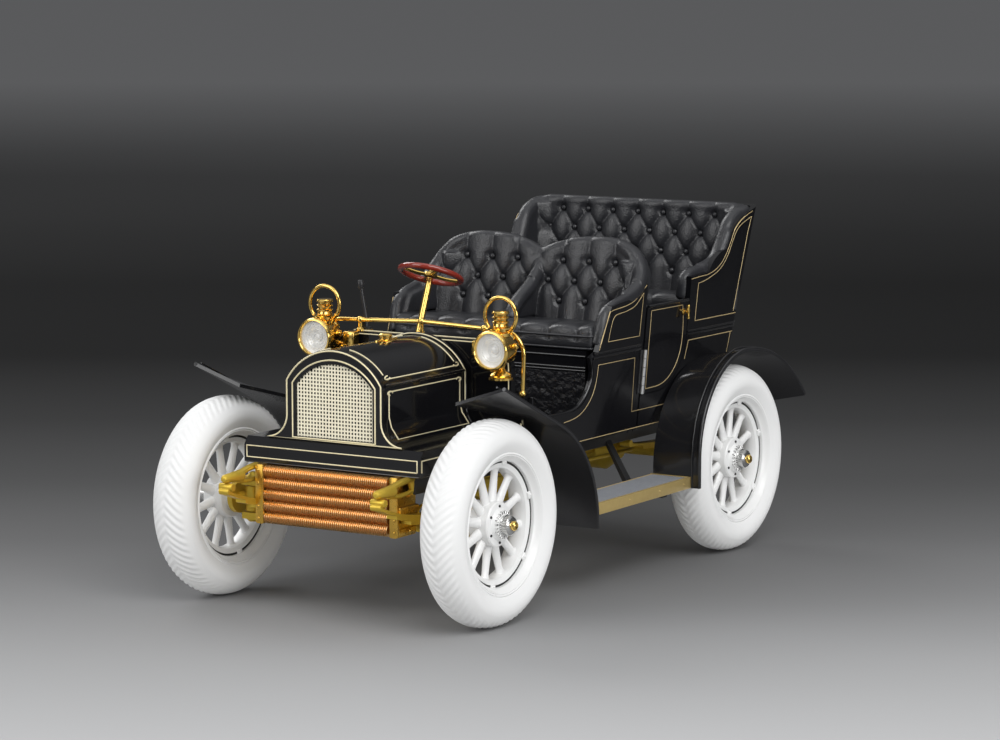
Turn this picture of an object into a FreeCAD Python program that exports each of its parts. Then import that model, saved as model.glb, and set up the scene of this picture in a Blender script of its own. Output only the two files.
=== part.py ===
import FreeCAD, Part
import math
import os

import Sketcher
from FreeCAD import Placement, Rotation, Vector

# A 1:18 scale model of a two-row open car of the brass era, in millimetres.
# +X points forward, +Y to the car's left, +Z up. The origin is on the ground, in the middle of the
# overall length, which runs from the front tyres to the tails of the rear mudguards. Lengths along X
# are given from the front axle, as distances ahead of it or behind it.

SIZES = {
    # stance
    "wheelbase": 122.8,
    "track": 80.0,
    # wheels: radii from the hub outwards, widths across the wheel
    "tyre_radius": 25.65,
    "tyre_width": 11.8,
    "tyre_bead_width": 9.0,
    "tread_width": 7.0,
    "tread_drop": 0.45,
    "tyre_side_radius": 5.2,
    "felloe_radius": 16.7,
    "felloe_depth": 2.5,
    "felloe_width": 5.0,
    "spokes": 12,
    "spoke_width_out": 1.9,
    "spoke_width_in": 2.5,
    "spoke_depth": 2.4,
    "hub_radius": 3.4,
    "hub_inner": 3.6,
    "hub_outer": 5.0,
    "flange_radius": 5.6,
    "flange_depth": 1.0,
    "cap_radius": 2.7,
    "cap_length": 2.0,
    "cap_end_radius": 1.9,
    "cap_end_length": 1.0,
    "spindle_radius": 1.5,
    "running_clearance": 0.05,
    "end_clearance": 0.3,
    # frame
    "rail_spacing": 45.2,
    "rail_width": 2.4,
    "rail_height": 5.0,
    "rail_front": 4.6,
    "rail_rear": 149.0,
    "horn_tip": 24.3,
    "horn_tip_height": 2.0,
    "cross_member_width": 5.0,
    "cross_member_height": 3.0,
    "cross_member_first": 24.0,
    "cross_member_middle": 98.0,
    "cross_member_last": 144.0,
    # overlap of pieces that are one casting, and reach of cutting tools past the work
    "weld": 0.4,
    "cut_over": 5.0,
    # springs
    "leaf_width": 3.0,
    "leaf_thickness": 0.8,
    "front_spring_span": 46.0,
    "front_spring_sag": 4.4,
    "rear_spring_span": 50.0,
    "rear_spring_sag": 1.5,
    "leaf_count": 3,
    "leaf_shortening": 0.27,
    "spring_eye_radius": 0.95,
    # front axle and steering
    "kingpin_spacing": 62.0,
    "kingpin_radius": 1.1,
    "axle_beam_depth": 3.2,
    "axle_beam_height": 2.6,
    "yoke_height": 10.4,
    "yoke_ear": 1.7,
    "yoke_depth": 4.4,
    "yoke_web": 1.6,
    "spindle_setback": 0.6,
    "knuckle_boss_radius": 2.0,
    "knuckle_flange_radius": 4.2,
    "knuckle_flange_depth": 1.4,
    "arm_length": 10.0,
    "arm_width": 2.0,
    "arm_depth": 1.4,
    "tie_rod_radius": 0.7,
    "tie_rod_eye_radius": 1.5,
    "tie_rod_eye_depth": 1.8,
    # rear axle
    "axle_tube_radius": 1.6,
    "differential_radius": 6.4,
    "differential_width": 13.0,
    "torque_tube_radius": 1.5,
    # engine block under the front floor
    "engine_front": 48.0,
    "engine_length": 36.0,
    "engine_width": 33.0,
    "engine_bottom": 20.5,
    "engine_arm": 3.0,
    "engine_arm_rise": 1.0,
    "engine_arm_front": 52.0,
    "engine_arm_rear": 76.0,
    "screw_radius": 1.25,
    "screw_depth": 6.0,
    "screw_boss_radius": 3.0,
    "rear_screw_drop": 6.0,
    # body tub
    "body_bottom": 37.3,
    "body_half_width": 31.0,
    "side_lean": 5.2,
    "panel": 1.6,
    "floor_thickness": 1.5,
    "toe_board_height": 14.0,
    "toe_board_length": 11.0,
    "toe_board_top": 1.2,
    "side_front": 32.6,
    "side_front_height": 52.2,
    "scoop_height": 46.1,
    "scoop_front": 42.5,
    "scoop_front_radius": 8.6,
    "scoop_rear": 53.6,
    "scoop_rear_radius": 9.4,
    "scoop_end": 62.9,
    "scoop_end_height": 55.4,
    "panel_nose": 61.4,
    "panel_nose_height": 59.2,
    "seat_side_front": 69.6,
    "seat_side_front_height": 72.0,
    "seat_side_low": 80.8,
    "seat_side_low_height": 73.2,
    "seat_side_radius": 16.0,
    "seat_side_rear": 87.7,
    "seat_side_rear_height": 76.4,
    "panel_gap": 0.35,
    "tub_top": 93.3,
    "tub_rear": 136.8,
    "tub_rear_lean": 12.6,
    "tub_corner_radius": 3.2,
    "sweep_front_height": 76.1,
    "sweep_bend": 122.0,
    "sweep_bend_height": 76.5,
    "sweep_bend_radius": 11.2,
    "sweep_low": 131.3,
    "sweep_low_height": 82.1,
    "sweep_rise": 134.0,
    "sweep_rise_height": 86.8,
    "sweep_rise_radius": 11.9,
    "sweep_high": 141.6,
    "sweep_high_height": 91.5,
    "sweep_end": 148.6,
    # tonneau door, measured from the front axle
    "door_front": 88.9,
    "door_rear": 112.0,
    "door_bottom": 46.5,
    "door_top": 70.0,
    "door_corner_radius": 14.0,
    "door_start": 0.2,
    "hinge_radius": 0.6,
    "hinge_stand_off": 0.4,
    "hinge_length": 12.0,
    "hinge_clearance": 0.15,
    "handle_drop": 3.2,
    "handle_set_back": 2.6,
    "handle_stem_radius": 0.45,
    "handle_stem": 1.4,
    "handle_radius": 0.5,
    "handle_length": 3.4,
    "seated_gap": 0.05,
    # seats
    "seat_height": 60.4,
    "seat_front": 64.5,
    "cushion_height": 6.2,
    "cushion_length": 19.9,
    "backrest_height": 26.2,
    "backrest_lean": 12.0,
    "backrest_thickness": 4.5,
    "backrest_shoulder": 17.2,
    "backrest_shoulder_out": 1.7,
    "backrest_shoulder_radius": 13.5,
    "backrest_crown_out": 20.0,
    "backrest_crown_in": 11.0,
    "backrest_dip": 22.4,
    "backrest_dip_radius": 14.0,
    "divider_thickness": 3.2,
    "divider_front": 72.4,
    "divider_knee": 76.6,
    "divider_knee_height": 72.2,
    "divider_rear": 88.0,
    "divider_rear_height": 80.0,
    "arm_rest_thickness": 3.2,
    "arm_rest_front": 68.9,
    "arm_rest_rise": 0.9,
    "wing_rise": 0.8,
    "wing_front": 112.9,
    "wing_rear": 143.0,
    "wing_foot_rear": 140.2,
    "rear_back_top": 93.9,
    "rear_back_lean": 9.0,
    "rear_back_thickness": 2.1,
    "rear_roll_radius": 2.0,
    "rear_back_corner": 4.0,
    "rear_cushion_height": 7.5,
    "rear_cushion_length": 18.0,
    "rear_box_length": 13.0,
    "rear_seat_height": 62.0,
    "rear_seat_face": 120.1,
    # front of the car
    "apron_front": 10.0,
    "apron_half_width": 26.3,
    "apron_clearance": 0.1,
    "apron_top": 43.2,
    "apron_lip": 2.0,
    "apron_lip_bottom": 36.9,
    "apron_chamfer": 1.6,
    "apron_chamfer_height": 2.0,
    "radiator_front": 12.4,
    "radiator_depth": 8.8,
    "radiator_rail_inset": 3.4,
    "radiator_bottom": 21.9,
    "radiator_top": 36.6,
    "radiator_tubes": 6,
    "radiator_tube_radius": 1.15,
    "radiator_core_inset": 0.8,
    "radiator_plate": 1.6,
    "bonnet_front": 8.6,
    "bonnet_rear": 30.2,
    "bonnet_half": 14.4,
    "bonnet_shoulder": 58.3,
    "bonnet_rise": 8.2,
    "grille_depth": 1.2,
    "bonnet_flare": 6.2,
    "dash_thickness": 2.0,
    "dash_half_width": 27.5,
    "dash_top": 66.2,
    "dash_corner_radius": 7.0,
    "dash_foot_half_width": 31.2,
    "dash_foot_height": 52.2,
    "rail_tube_radius": 0.55,
    "rail_end_rise": 2.4,
    "rail_bow": 1.1,
    "rail_post_spacing": 19.0,
    "rail_half_width": 30.9,
    "rail_foot_half_width": 30.3,
    "rail_bend": 6.0,
    "rail_ball_radius": 0.95,
    # lever on the back of the dash
    "lever_offset": 18.0,
    "lever_socket_radius": 0.9,
    "lever_socket_low": 61.0,
    "lever_socket_length": 6.0,
    "lever_radius": 0.5,
    "lever_length": 11.5,
    "lever_lean": 11.0,
    # lamps
    "lamp_ahead_of_dash": 5.1,
    "lamp_spacing": 53.6,
    "lamp_height": 64.8,
    "lamp_radius": 4.8,
    "lamp_rear_radius": 3.2,
    "lamp_length": 8.6,
    "lamp_taper": 3.0,
    "lamp_bezel": 2.0,
    "lamp_lip": 0.8,
    "lamp_column_setback": 0.6,
    "chimney_radius": 2.3,
    "chimney_neck_radius": 1.6,
    "chimney_low": 3.3,
    "chimney_drum": 2.2,
    "chimney_step": 0.4,
    "chimney_neck": 1.0,
    "chimney_lid": 1.2,
    "chimney_top": 1.6,
    "bail_radius": 4.25,
    "bail_wire": 0.4,
    "bail_rise": 8.2,
    "lamp_foot_height": 7.8,
    "lamp_foot_neck": 1.4,
    "lamp_foot_radius": 2.6,
    "lamp_bracket_width": 1.6,
    "lamp_bracket_height": 1.8,
    # steering wheel
    "wheel_ahead": 61.7,
    "wheel_offset": 17.0,
    "wheel_height": 78.3,
    "column_lean": 22.0,
    "column_radius": 0.9,
    "rim_radius": 8.1,
    "rim_tube": 0.75,
    "wheel_hub_radius": 1.5,
    "spider_radius": 0.5,
    "spider_spokes": 4,
    # mudguards and running boards
    "guard_inner": 32.4,
    "guard_outer": 46.6,
    "guard_thickness": 0.9,
    "rear_guard_rise": 3.0,
    "front_guard_tip": 3.3,
    "front_guard_behind": 42.0,
    "guard_inner_tip_height": 55.2,
    "guard_inner_slope": 14.0,
    "guard_inner_straight": 27.0,
    "guard_outer_tip_height": 59.8,
    "guard_outer_slope": 24.5,
    "guard_outer_straight": 30.0,
    "guard_full_turn": 90.0,
    "front_guard_foot": 18.6,
    "rear_guard_clearance": 1.9,
    "rear_guard_tail_radius": 46.0,
    "rear_guard_tail_turn": 50.0,
    "board_top": 24.3,
    "board_thickness": 3.1,
    "board_inner": 31.8,
    "board_outer": 44.1,
    "bracket_width": 1.4,
    "bracket_depth": 2.6,
    "bracket_front": 50.0,
    "bracket_rear": 86.0,
    "bracket_inset": 1.0,
    "bracket_reach": 3.0,
}

doc = FreeCAD.newDocument("open_car")
sheet = doc.addObject("Spreadsheet::Sheet", "sizes")
for row, (alias, number) in enumerate(SIZES.items(), start=1):
    sheet.set(f"A{row}", alias)
    sheet.set(f"B{row}", str(number))
    sheet.setAlias(f"B{row}", alias)
doc.recompute()


class Size:
    """A length or angle that knows its number and the sheet formula that gives it."""

    def __init__(self, text, value):
        self.text = text
        self.value = value

    def __add__(self, other):
        other = as_size(other)
        return Size(f"({self.text} + {other.text})", self.value + other.value)

    def __sub__(self, other):
        other = as_size(other)
        return Size(f"({self.text} - {other.text})", self.value - other.value)

    def __mul__(self, other):
        other = as_size(other)
        return Size(f"({self.text} * {other.text})", self.value * other.value)

    def __truediv__(self, other):
        other = as_size(other)
        return Size(f"({self.text} / {other.text})", self.value / other.value)

    def __neg__(self):
        return Size(f"(0 - {self.text})", -self.value)

    def __radd__(self, other):
        return as_size(other) + self

    def __rsub__(self, other):
        return as_size(other) - self

    def __rmul__(self, other):
        return as_size(other) * self


def as_size(number):
    return number if isinstance(number, Size) else Size(f"{float(number):.6f}", float(number))


def cosine(angle):
    return Size(f"cos({angle.text})", math.cos(math.radians(angle.value)))


def sine(angle):
    return Size(f"sin({angle.text})", math.sin(math.radians(angle.value)))


def tangent(angle):
    return Size(f"tan({angle.text})", math.tan(math.radians(angle.value)))


def root(area):
    return Size(f"sqrt({area.text})", math.sqrt(area.value))


class Sizes:
    """Every cell of the sheet, read back by its alias."""


s = Sizes()
for alias in SIZES:
    setattr(s, alias, Size("sizes." + alias, float(sheet.get(alias))))

# Places worked out from the sizes.
TAIL = s.rear_guard_tail_radius * sine(s.rear_guard_tail_turn)
FRONT = (s.wheelbase + TAIL - s.tyre_radius) / 2
REAR = FRONT - s.wheelbase
RAIL_TOP = s.body_bottom
RAIL_BOTTOM = s.body_bottom - s.rail_height
LEAN = tangent(s.side_lean)
NODES = []


def side_at(height):
    """Half the width of the body's outer side at a height above the ground."""
    return s.body_half_width + LEAN * (height - s.body_bottom)


def bind(thing, **places):
    for name, size in places.items():
        thing.setExpression(name.replace("__", "."), as_size(size).text)


def put(thing, at=(0, 0, 0), axis=(0, 0, 1), turn=0):
    """Place a thing by sizes: its position, and a turn in degrees about an axis."""
    turn = as_size(turn)
    spot = Vector(*(as_size(c).value for c in at))
    thing.Placement = Placement(spot, Rotation(Vector(*axis), turn.value))
    for name, size in zip("xyz", at):
        thing.setExpression("Placement.Base." + name, as_size(size).text)
    return thing


def box(name, lengths, low):
    """A box by its lengths along X, Y and Z and its lowest corner."""
    thing = doc.addObject("Part::Box", name)
    bind(thing, Length=lengths[0], Width=lengths[1], Height=lengths[2])
    return put(thing, low)


TURNS = {"X": ((0, 1, 0), 90), "Y": ((1, 0, 0), -90), "Z": ((0, 0, 1), 0)}


def rod(name, radius, length, at, along="Z", taper=None):
    """A round rod, or a cone with taper as its far radius, from a point along an axis."""
    kind = "Part::Cone" if taper is not None else "Part::Cylinder"
    thing = doc.addObject(kind, name)
    if taper is None:
        bind(thing, Radius=radius, Height=length)
    else:
        bind(thing, Radius1=radius, Radius2=taper, Height=length)
    axis, turn = TURNS[along]
    return put(thing, at, axis, turn)


def ring(name, radius, wire, at, along="Z"):
    thing = doc.addObject("Part::Torus", name)
    bind(thing, Radius1=radius, Radius2=wire)
    axis, turn = TURNS[along]
    return put(thing, at, axis, turn)


def ball(name, radius, at):
    thing = doc.addObject("Part::Sphere", name)
    bind(thing, Radius=radius)
    return put(thing, at)


def fuse(name, pieces):
    thing = doc.addObject("Part::MultiFuse", name)
    thing.Shapes = pieces
    thing.Refine = True
    return thing


def cut(name, base, tool):
    thing = doc.addObject("Part::Cut", name)
    thing.Base = base
    thing.Tool = tool
    return thing


def mirror(name, source):
    """The same thing on the car's other side."""
    thing = doc.addObject("Part::Mirroring", name)
    thing.Source = source
    thing.Normal = Vector(0, 1, 0)
    thing.Base = Vector(0, 0, 0)
    return thing


def both_sides(name, source):
    return fuse(name, [source, mirror(name + "_other", source)])


def node(thing, label):
    thing.Label = label
    NODES.append(thing)
    return thing


def new_body(name):
    return doc.addObject("PartDesign::Body", name)


def origin_plane(body, role):
    return next(f for f in body.Origin.OriginFeatures if f.Role == role)


def outline(body, role, corners, offset=0):
    """A closed outline on one of the body's planes.

    corners: rows of (u, v) or (u, v, radius, turn). The last two bend the edge that leaves the
    corner: turn is +1 where it curves to the left and -1 where it curves to the right.
    """
    sketch = body.newObject("Sketcher::SketchObject", body.Name + "_outline")
    sketch.AttachmentSupport = (origin_plane(body, role), "")
    sketch.MapMode = "FlatFace"
    sketch.AttachmentOffset = Placement(Vector(0, 0, as_size(offset).value), Rotation())
    sketch.setExpression("AttachmentOffset.Base.z", as_size(offset).text)
    rows = [tuple(as_size(c) for c in row[:2]) + tuple(row[2:]) for row in corners]
    spots = [Vector(u.value, v.value, 0) for u, v, *_ in rows]
    ends = []
    for index, row in enumerate(rows):
        start, end = spots[index], spots[(index + 1) % len(rows)]
        if len(row) == 2:
            edge = sketch.addGeometry(Part.LineSegment(start, end))
            ends.append((edge, 1, 2))
            continue
        radius, turn = as_size(row[2]), row[3]
        chord = end - start
        rise = math.sqrt(max(radius.value ** 2 - (chord.Length / 2) ** 2, 0))
        left = Vector(-chord.y, chord.x, 0).normalize()
        centre = (start + end) / 2 + left * rise * turn
        first, last = (start, end) if turn > 0 else (end, start)
        angles = [math.atan2(p.y - centre.y, p.x - centre.x) for p in (first, last)]
        circle = Part.Circle(centre, Vector(0, 0, 1), radius.value)
        edge = sketch.addGeometry(Part.ArcOfCircle(circle, *angles))
        ends.append((edge, 1, 2) if turn > 0 else (edge, 2, 1))
        number = sketch.addConstraint(Sketcher.Constraint("Radius", edge, radius.value))
        sketch.setExpression(f"Constraints[{number}]", radius.text)
    for index, (edge, start, _) in enumerate(ends):
        before, _, end = ends[index - 1]
        sketch.addConstraint(Sketcher.Constraint("Coincident", edge, start, before, end))
        for kind, size in zip(("DistanceX", "DistanceY"), rows[index][:2]):
            rule = Sketcher.Constraint(kind, -1, 1, edge, start, size.value)
            number = sketch.addConstraint(rule)
            sketch.setExpression(f"Constraints[{number}]", size.text)
    return sketch


def feature(body, kind, sketch, **places):
    thing = body.newObject("PartDesign::" + kind, body.Name + "_" + kind.lower())
    if kind in ("Pad", "Pocket", "Revolution", "Groove"):
        thing.Profile = sketch
    bind(thing, **places)
    return thing


def pad(body, sketch, length, symmetric=False, back=False, direction=None):
    thing = feature(body, "Pad", sketch, Length=length)
    thing.SideType = 2 if symmetric else 0
    thing.Reversed = back
    if direction is not None:
        thing.UseCustomVector = True
        thing.AlongSketchNormal = True
        thing.Direction = Vector(*(as_size(c).value for c in direction))
        for name, size in zip("xyz", direction):
            thing.setExpression("Direction." + name, as_size(size).text)
    return thing


def spin(body, sketch, kind="Revolution"):
    thing = feature(body, kind, sketch)
    thing.ReferenceAxis = (sketch, ["V_Axis"])
    thing.Angle = 360
    return thing


def turned(name, profile, at, along="Y"):
    """A piece turned on a lathe: profile rows are (radius, place along the axis)."""
    body = new_body(name)
    spin(body, outline(body, "XY_Plane", profile))
    axis, turn = {"Y": ((0, 0, 1), 0), "X": ((0, 0, 1), -90), "Z": ((1, 0, 0), 90)}[along]
    return put(body, at, axis, turn)


def plate(name, role, corners, thickness, at=(0, 0, 0), axis=(0, 0, 1), turn=0, **options):
    """A flat piece of one thickness, cut to an outline."""
    body = new_body(name)
    pad(body, outline(body, role, corners), thickness, **options)
    return put(body, at, axis, turn)


# Frame: two rails with dropped horns, cross members, and the rear display-screw boss.
rail_y = s.rail_spacing / 2
rail_low = rail_y - s.rail_width / 2
rail_side = [
    (FRONT + s.rail_front, RAIL_TOP),
    (FRONT - s.rail_rear, RAIL_TOP),
    (FRONT - s.rail_rear, RAIL_BOTTOM),
    (FRONT + s.rail_front, RAIL_BOTTOM),
    (FRONT + s.horn_tip, RAIL_BOTTOM),
    (FRONT + s.horn_tip, RAIL_BOTTOM + s.horn_tip_height),
]
rail = plate("rail", "XZ_Plane", rail_side, s.rail_width, (0, rail_low, 0), back=True)
# cross members: distance behind the front axle
cross_members = []
for index, behind in enumerate((s.cross_member_first, s.cross_member_middle, s.cross_member_last)):
    low = (FRONT - behind - s.cross_member_width / 2, -rail_y, RAIL_TOP - s.cross_member_height)
    lengths = (s.cross_member_width, s.rail_spacing, s.cross_member_height)
    cross_members.append(box(f"cross_member_{index}", lengths, low))
screw_low = RAIL_TOP - s.cross_member_height - s.rear_screw_drop
rear_screw_at = (FRONT - s.cross_member_last, 0, screw_low)
screw_height = s.rear_screw_drop + s.cross_member_height
screw_boss = rod("screw_boss", s.screw_boss_radius, screw_height, rear_screw_at)
solid_frame = fuse("solid_frame", [rail, mirror("rail_right", rail), *cross_members, screw_boss])
rear_hole = rod("rear_hole", s.screw_radius, s.screw_depth, rear_screw_at)
node(cut("frame_cut", solid_frame, rear_hole), "frame")


EYE_HEIGHT = RAIL_BOTTOM - s.spring_eye_radius - s.seated_gap


def leaf_spring(name, centre_x, span, sag):
    """A half-elliptic pack of leaves under one rail, with an eye at each end."""
    eye_height = EYE_HEIGHT
    radius = (span * span / 4 + sag * sag) / (2 * sag)
    pieces = []
    for leaf in range(int(SIZES["leaf_count"])):
        share = 1 - s.leaf_shortening * leaf
        reach = span / 2 * share
        inner = radius + s.leaf_thickness * leaf
        outer = inner + s.leaf_thickness
        rise_in = radius - root(inner * inner - reach * reach) - sag
        rise_out = radius - root(outer * outer - reach * reach) - sag
        corners = [
            (-reach, eye_height + rise_out, outer, 1),
            (reach, eye_height + rise_out),
            (reach, eye_height + rise_in, inner, -1),
            (-reach, eye_height + rise_in),
        ]
        spot = (centre_x, rail_y - s.leaf_width / 2, 0)
        pieces.append(plate(f"{name}_leaf_{leaf}", "XZ_Plane", corners, s.leaf_width, spot, back=True))
    for end in (-1, 1):
        spot = (centre_x + span / 2 * end, rail_y - s.leaf_width / 2, eye_height)
        pieces.append(rod(f"{name}_eye_{end + 1}", s.spring_eye_radius, s.leaf_width, spot, "Y"))
    return fuse(name + "_left", pieces)


front_spring = leaf_spring("front_spring", FRONT, s.front_spring_span, s.front_spring_sag)
node(both_sides("front_springs_pair", front_spring), "front_springs")
rear_spring = leaf_spring("rear_spring", REAR, s.rear_spring_span, s.rear_spring_sag)
node(both_sides("rear_springs_pair", rear_spring), "rear_springs")
FRONT_SPRING_LOW = EYE_HEIGHT - s.front_spring_sag - s.leaf_thickness * s.leaf_count
REAR_SPRING_LOW = EYE_HEIGHT - s.rear_spring_sag - s.leaf_thickness * s.leaf_count

# Front axle: a beam with a forked yoke at each end, bored for the kingpin.
kingpin_y = s.kingpin_spacing / 2
boss_half = s.yoke_height / 2 - s.yoke_ear - s.end_clearance
yoke_inner = kingpin_y - s.knuckle_boss_radius - s.end_clearance - s.yoke_web
yoke_outer = kingpin_y + s.knuckle_boss_radius
beam_low = FRONT_SPRING_LOW - s.axle_beam_height
beam = box("beam", (s.axle_beam_depth, (yoke_inner + s.weld) * 2, s.axle_beam_height),
           (FRONT - s.axle_beam_depth / 2, -yoke_inner - s.weld, beam_low))
yoke_low = s.tyre_radius - s.yoke_height / 2
yoke_side = [
    (yoke_inner, yoke_low),
    (yoke_outer, yoke_low),
    (yoke_outer, yoke_low + s.yoke_ear),
    (yoke_inner + s.yoke_web, yoke_low + s.yoke_ear),
    (yoke_inner + s.yoke_web, yoke_low + s.yoke_height - s.yoke_ear),
    (yoke_outer, yoke_low + s.yoke_height - s.yoke_ear),
    (yoke_outer, yoke_low + s.yoke_height),
    (yoke_inner, yoke_low + s.yoke_height),
]
yoke = plate("yoke", "YZ_Plane", yoke_side, s.yoke_depth, (FRONT, 0, 0), symmetric=True)
kingpin_bore = rod("kingpin_bore", s.kingpin_radius + s.running_clearance, s.yoke_height + s.cut_over * 2,
                   (FRONT, kingpin_y, yoke_low - s.cut_over))
bored_yoke = cut("bored_yoke", yoke, kingpin_bore)
node(fuse("front_axle_fused", [beam, bored_yoke, mirror("bored_yoke_right", bored_yoke)]), "front_axle")

# Steering knuckles: kingpin, boss, spindle, brake-side flange and steering arm.
wheel_y = s.track / 2
spindle_end = wheel_y + s.hub_outer - s.spindle_setback
arm_height = s.tyre_radius - s.arm_depth / 2
boss = rod("boss", s.knuckle_boss_radius, boss_half * 2, (FRONT, kingpin_y, s.tyre_radius - boss_half))
kingpin = rod("kingpin", s.kingpin_radius, s.yoke_height + s.weld * 2, (FRONT, kingpin_y, yoke_low - s.weld))
spindle = rod("spindle", s.spindle_radius, spindle_end - kingpin_y, (FRONT, kingpin_y, s.tyre_radius), "Y")
flange_y = wheel_y - s.hub_inner - s.end_clearance - s.knuckle_flange_depth
flange = rod("knuckle_flange", s.knuckle_flange_radius, s.knuckle_flange_depth,
             (FRONT, flange_y, s.tyre_radius), "Y")
arm = box("arm", (s.arm_length, s.arm_width, s.arm_depth),
          (FRONT - s.arm_length, kingpin_y - s.arm_width / 2, arm_height))
arm_end = rod("arm_end", s.tie_rod_eye_radius, s.arm_depth, (FRONT - s.arm_length, kingpin_y, arm_height))
knuckle = fuse("knuckle_fused", [boss, kingpin, spindle, flange, arm, arm_end])
node(knuckle, "knuckle_left")
node(mirror("knuckle_mirrored", knuckle), "knuckle_right")

# Tie rod, lying just under the two steering arms.
tie_drop = s.end_clearance + s.tie_rod_eye_depth / 2
tie_at = (FRONT - s.arm_length, -kingpin_y, arm_height - tie_drop)
tie_bar = rod("tie_bar", s.tie_rod_radius, kingpin_y * 2, tie_at, "Y")
tie_eyes = [
    rod(f"tie_eye_{side}", s.tie_rod_eye_radius, s.tie_rod_eye_depth,
        (FRONT - s.arm_length, kingpin_y * side, arm_height - s.end_clearance - s.tie_rod_eye_depth))
    for side in (-1, 1)
]
node(fuse("tie_rod_fused", [tie_bar, *tie_eyes]), "tie_rod")

# Rear axle: a tube with the differential, a flange and a spindle at each end.
tube = rod("axle_tube", s.axle_tube_radius, kingpin_y * 2, (REAR, -kingpin_y, s.tyre_radius), "Y")
differential_profile = [
    (0, -s.differential_width / 2),
    (s.differential_radius / 2, -s.differential_width / 2),
    (s.differential_radius, -s.differential_width / 6),
    (s.differential_radius, s.differential_width / 6),
    (s.differential_radius / 2, s.differential_width / 2),
    (0, s.differential_width / 2),
]
differential = turned("differential", differential_profile, (REAR, 0, s.tyre_radius))
rear_spindle = rod("rear_spindle", s.spindle_radius, spindle_end * 2, (REAR, -spindle_end, s.tyre_radius), "Y")
rear_flanges = [
    rod(f"rear_flange_{index}", s.knuckle_flange_radius, s.knuckle_flange_depth, (REAR, low, s.tyre_radius), "Y")
    for index, low in enumerate((flange_y, -flange_y - s.knuckle_flange_depth))
]
seat_low = s.tyre_radius + s.axle_tube_radius - s.weld
spring_seats = [
    box(f"spring_seat_{index}", (s.leaf_width, s.leaf_width, REAR_SPRING_LOW - seat_low),
        (REAR - s.leaf_width / 2, rail_y * side - s.leaf_width / 2, seat_low))
    for index, side in enumerate((-1, 1))
]
engine_rear = FRONT - s.engine_front - s.engine_length
torque_tube = rod("torque_tube", s.torque_tube_radius, engine_rear - s.end_clearance - REAR,
                  (REAR, 0, s.tyre_radius), "X")
rear_axle_pieces = [tube, differential, torque_tube, rear_spindle, *rear_flanges, *spring_seats]
node(fuse("rear_axle_fused", rear_axle_pieces), "rear_axle")

# Wheels: corners are (name, axle, side).
WHEELS = [("front_left", FRONT, 1), ("front_right", FRONT, -1), ("rear_left", REAR, 1), ("rear_right", REAR, -1)]
bead = s.tyre_bead_width / 2
tread = s.tread_width / 2
shoulder = s.tyre_radius - s.tread_drop
tyre_profile = [
    (s.felloe_radius, bead),
    (s.felloe_radius, -bead, s.tyre_side_radius, 1),
    (shoulder, -tread),
    (s.tyre_radius, -tread / 3),
    (s.tyre_radius, tread / 3),
    (shoulder, tread, s.tyre_side_radius, 1),
]
felloe_inside = s.felloe_radius - s.felloe_depth
rim_profile = [
    (felloe_inside, -s.felloe_width / 2),
    (s.felloe_radius, -s.felloe_width / 2),
    (s.felloe_radius, s.felloe_width / 2),
    (felloe_inside, s.felloe_width / 2),
]
bore = s.spindle_radius + s.running_clearance
spoke_half = s.spoke_depth / 2
cap_start = s.hub_outer
hub_profile = [
    (bore, -s.hub_inner),
    (s.hub_radius, -s.hub_inner),
    (s.hub_radius, -spoke_half - s.flange_depth),
    (s.flange_radius, -spoke_half - s.flange_depth),
    (s.flange_radius, spoke_half + s.flange_depth),
    (s.hub_radius, spoke_half + s.flange_depth),
    (s.hub_radius, cap_start),
    (s.cap_radius, cap_start),
    (s.cap_radius, cap_start + s.cap_length),
    (s.cap_end_radius, cap_start + s.cap_length),
    (s.cap_end_radius, cap_start + s.cap_length + s.cap_end_length),
    (0, cap_start + s.cap_length + s.cap_end_length),
    (0, spindle_end - wheel_y + s.end_clearance),
    (bore, spindle_end - wheel_y + s.end_clearance),
]
spoke_outline = [
    (-s.spoke_width_in / 2, s.flange_radius - s.weld),
    (s.spoke_width_in / 2, s.flange_radius - s.weld),
    (s.spoke_width_out / 2, felloe_inside + s.weld),
    (-s.spoke_width_out / 2, felloe_inside + s.weld),
]


def wheel(name, axle, side):
    """One artillery wheel: felloe, twelve tapered spokes, flanged hub and cap."""
    body = new_body("wheel_" + name)
    spin(body, outline(body, "XY_Plane", hub_profile))
    spin(body, outline(body, "XY_Plane", rim_profile))
    spoke_sketch = outline(body, "XZ_Plane", spoke_outline)
    spoke = pad(body, spoke_sketch, s.spoke_depth, symmetric=True)
    spokes = body.newObject("PartDesign::PolarPattern", body.Name + "_spokes")
    spokes.Originals = [spoke]
    spokes.Axis = (spoke_sketch, ["N_Axis"])
    spokes.Angle = 360
    spokes.setExpression("Occurrences", s.spokes.text)
    body.Tip = spokes
    return put(body, (axle, wheel_y * side, s.tyre_radius), (0, 0, 1), 0 if side > 0 else 180)


for name, axle, side in WHEELS:
    node(wheel(name, axle, side), "wheel_" + name)
    tyre = turned("tyre_" + name, tyre_profile, (axle, wheel_y * side, s.tyre_radius))
    node(tyre, "tyre_" + name)

# Engine and gearbox, one block slung between the rails.
engine_low = (engine_rear, -s.engine_width / 2, s.engine_bottom)
engine_block = box("engine_block", (s.engine_length, s.engine_width, RAIL_TOP - s.engine_bottom), engine_low)
front_hole = rod("front_hole", s.screw_radius, s.screw_depth,
                 (FRONT - s.engine_front - s.engine_length / 2, 0, s.engine_bottom))
engine_arms = [
    box(f"engine_arm_{index}", (s.engine_arm, rail_low * 2, s.engine_arm),
        (FRONT - behind - s.engine_arm, -rail_low, RAIL_BOTTOM + s.engine_arm_rise))
    for index, behind in enumerate((s.engine_arm_front, s.engine_arm_rear))
]
node(cut("engine_cut", fuse("engine_solid", [engine_block, *engine_arms]), front_hole), "engine")

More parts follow.
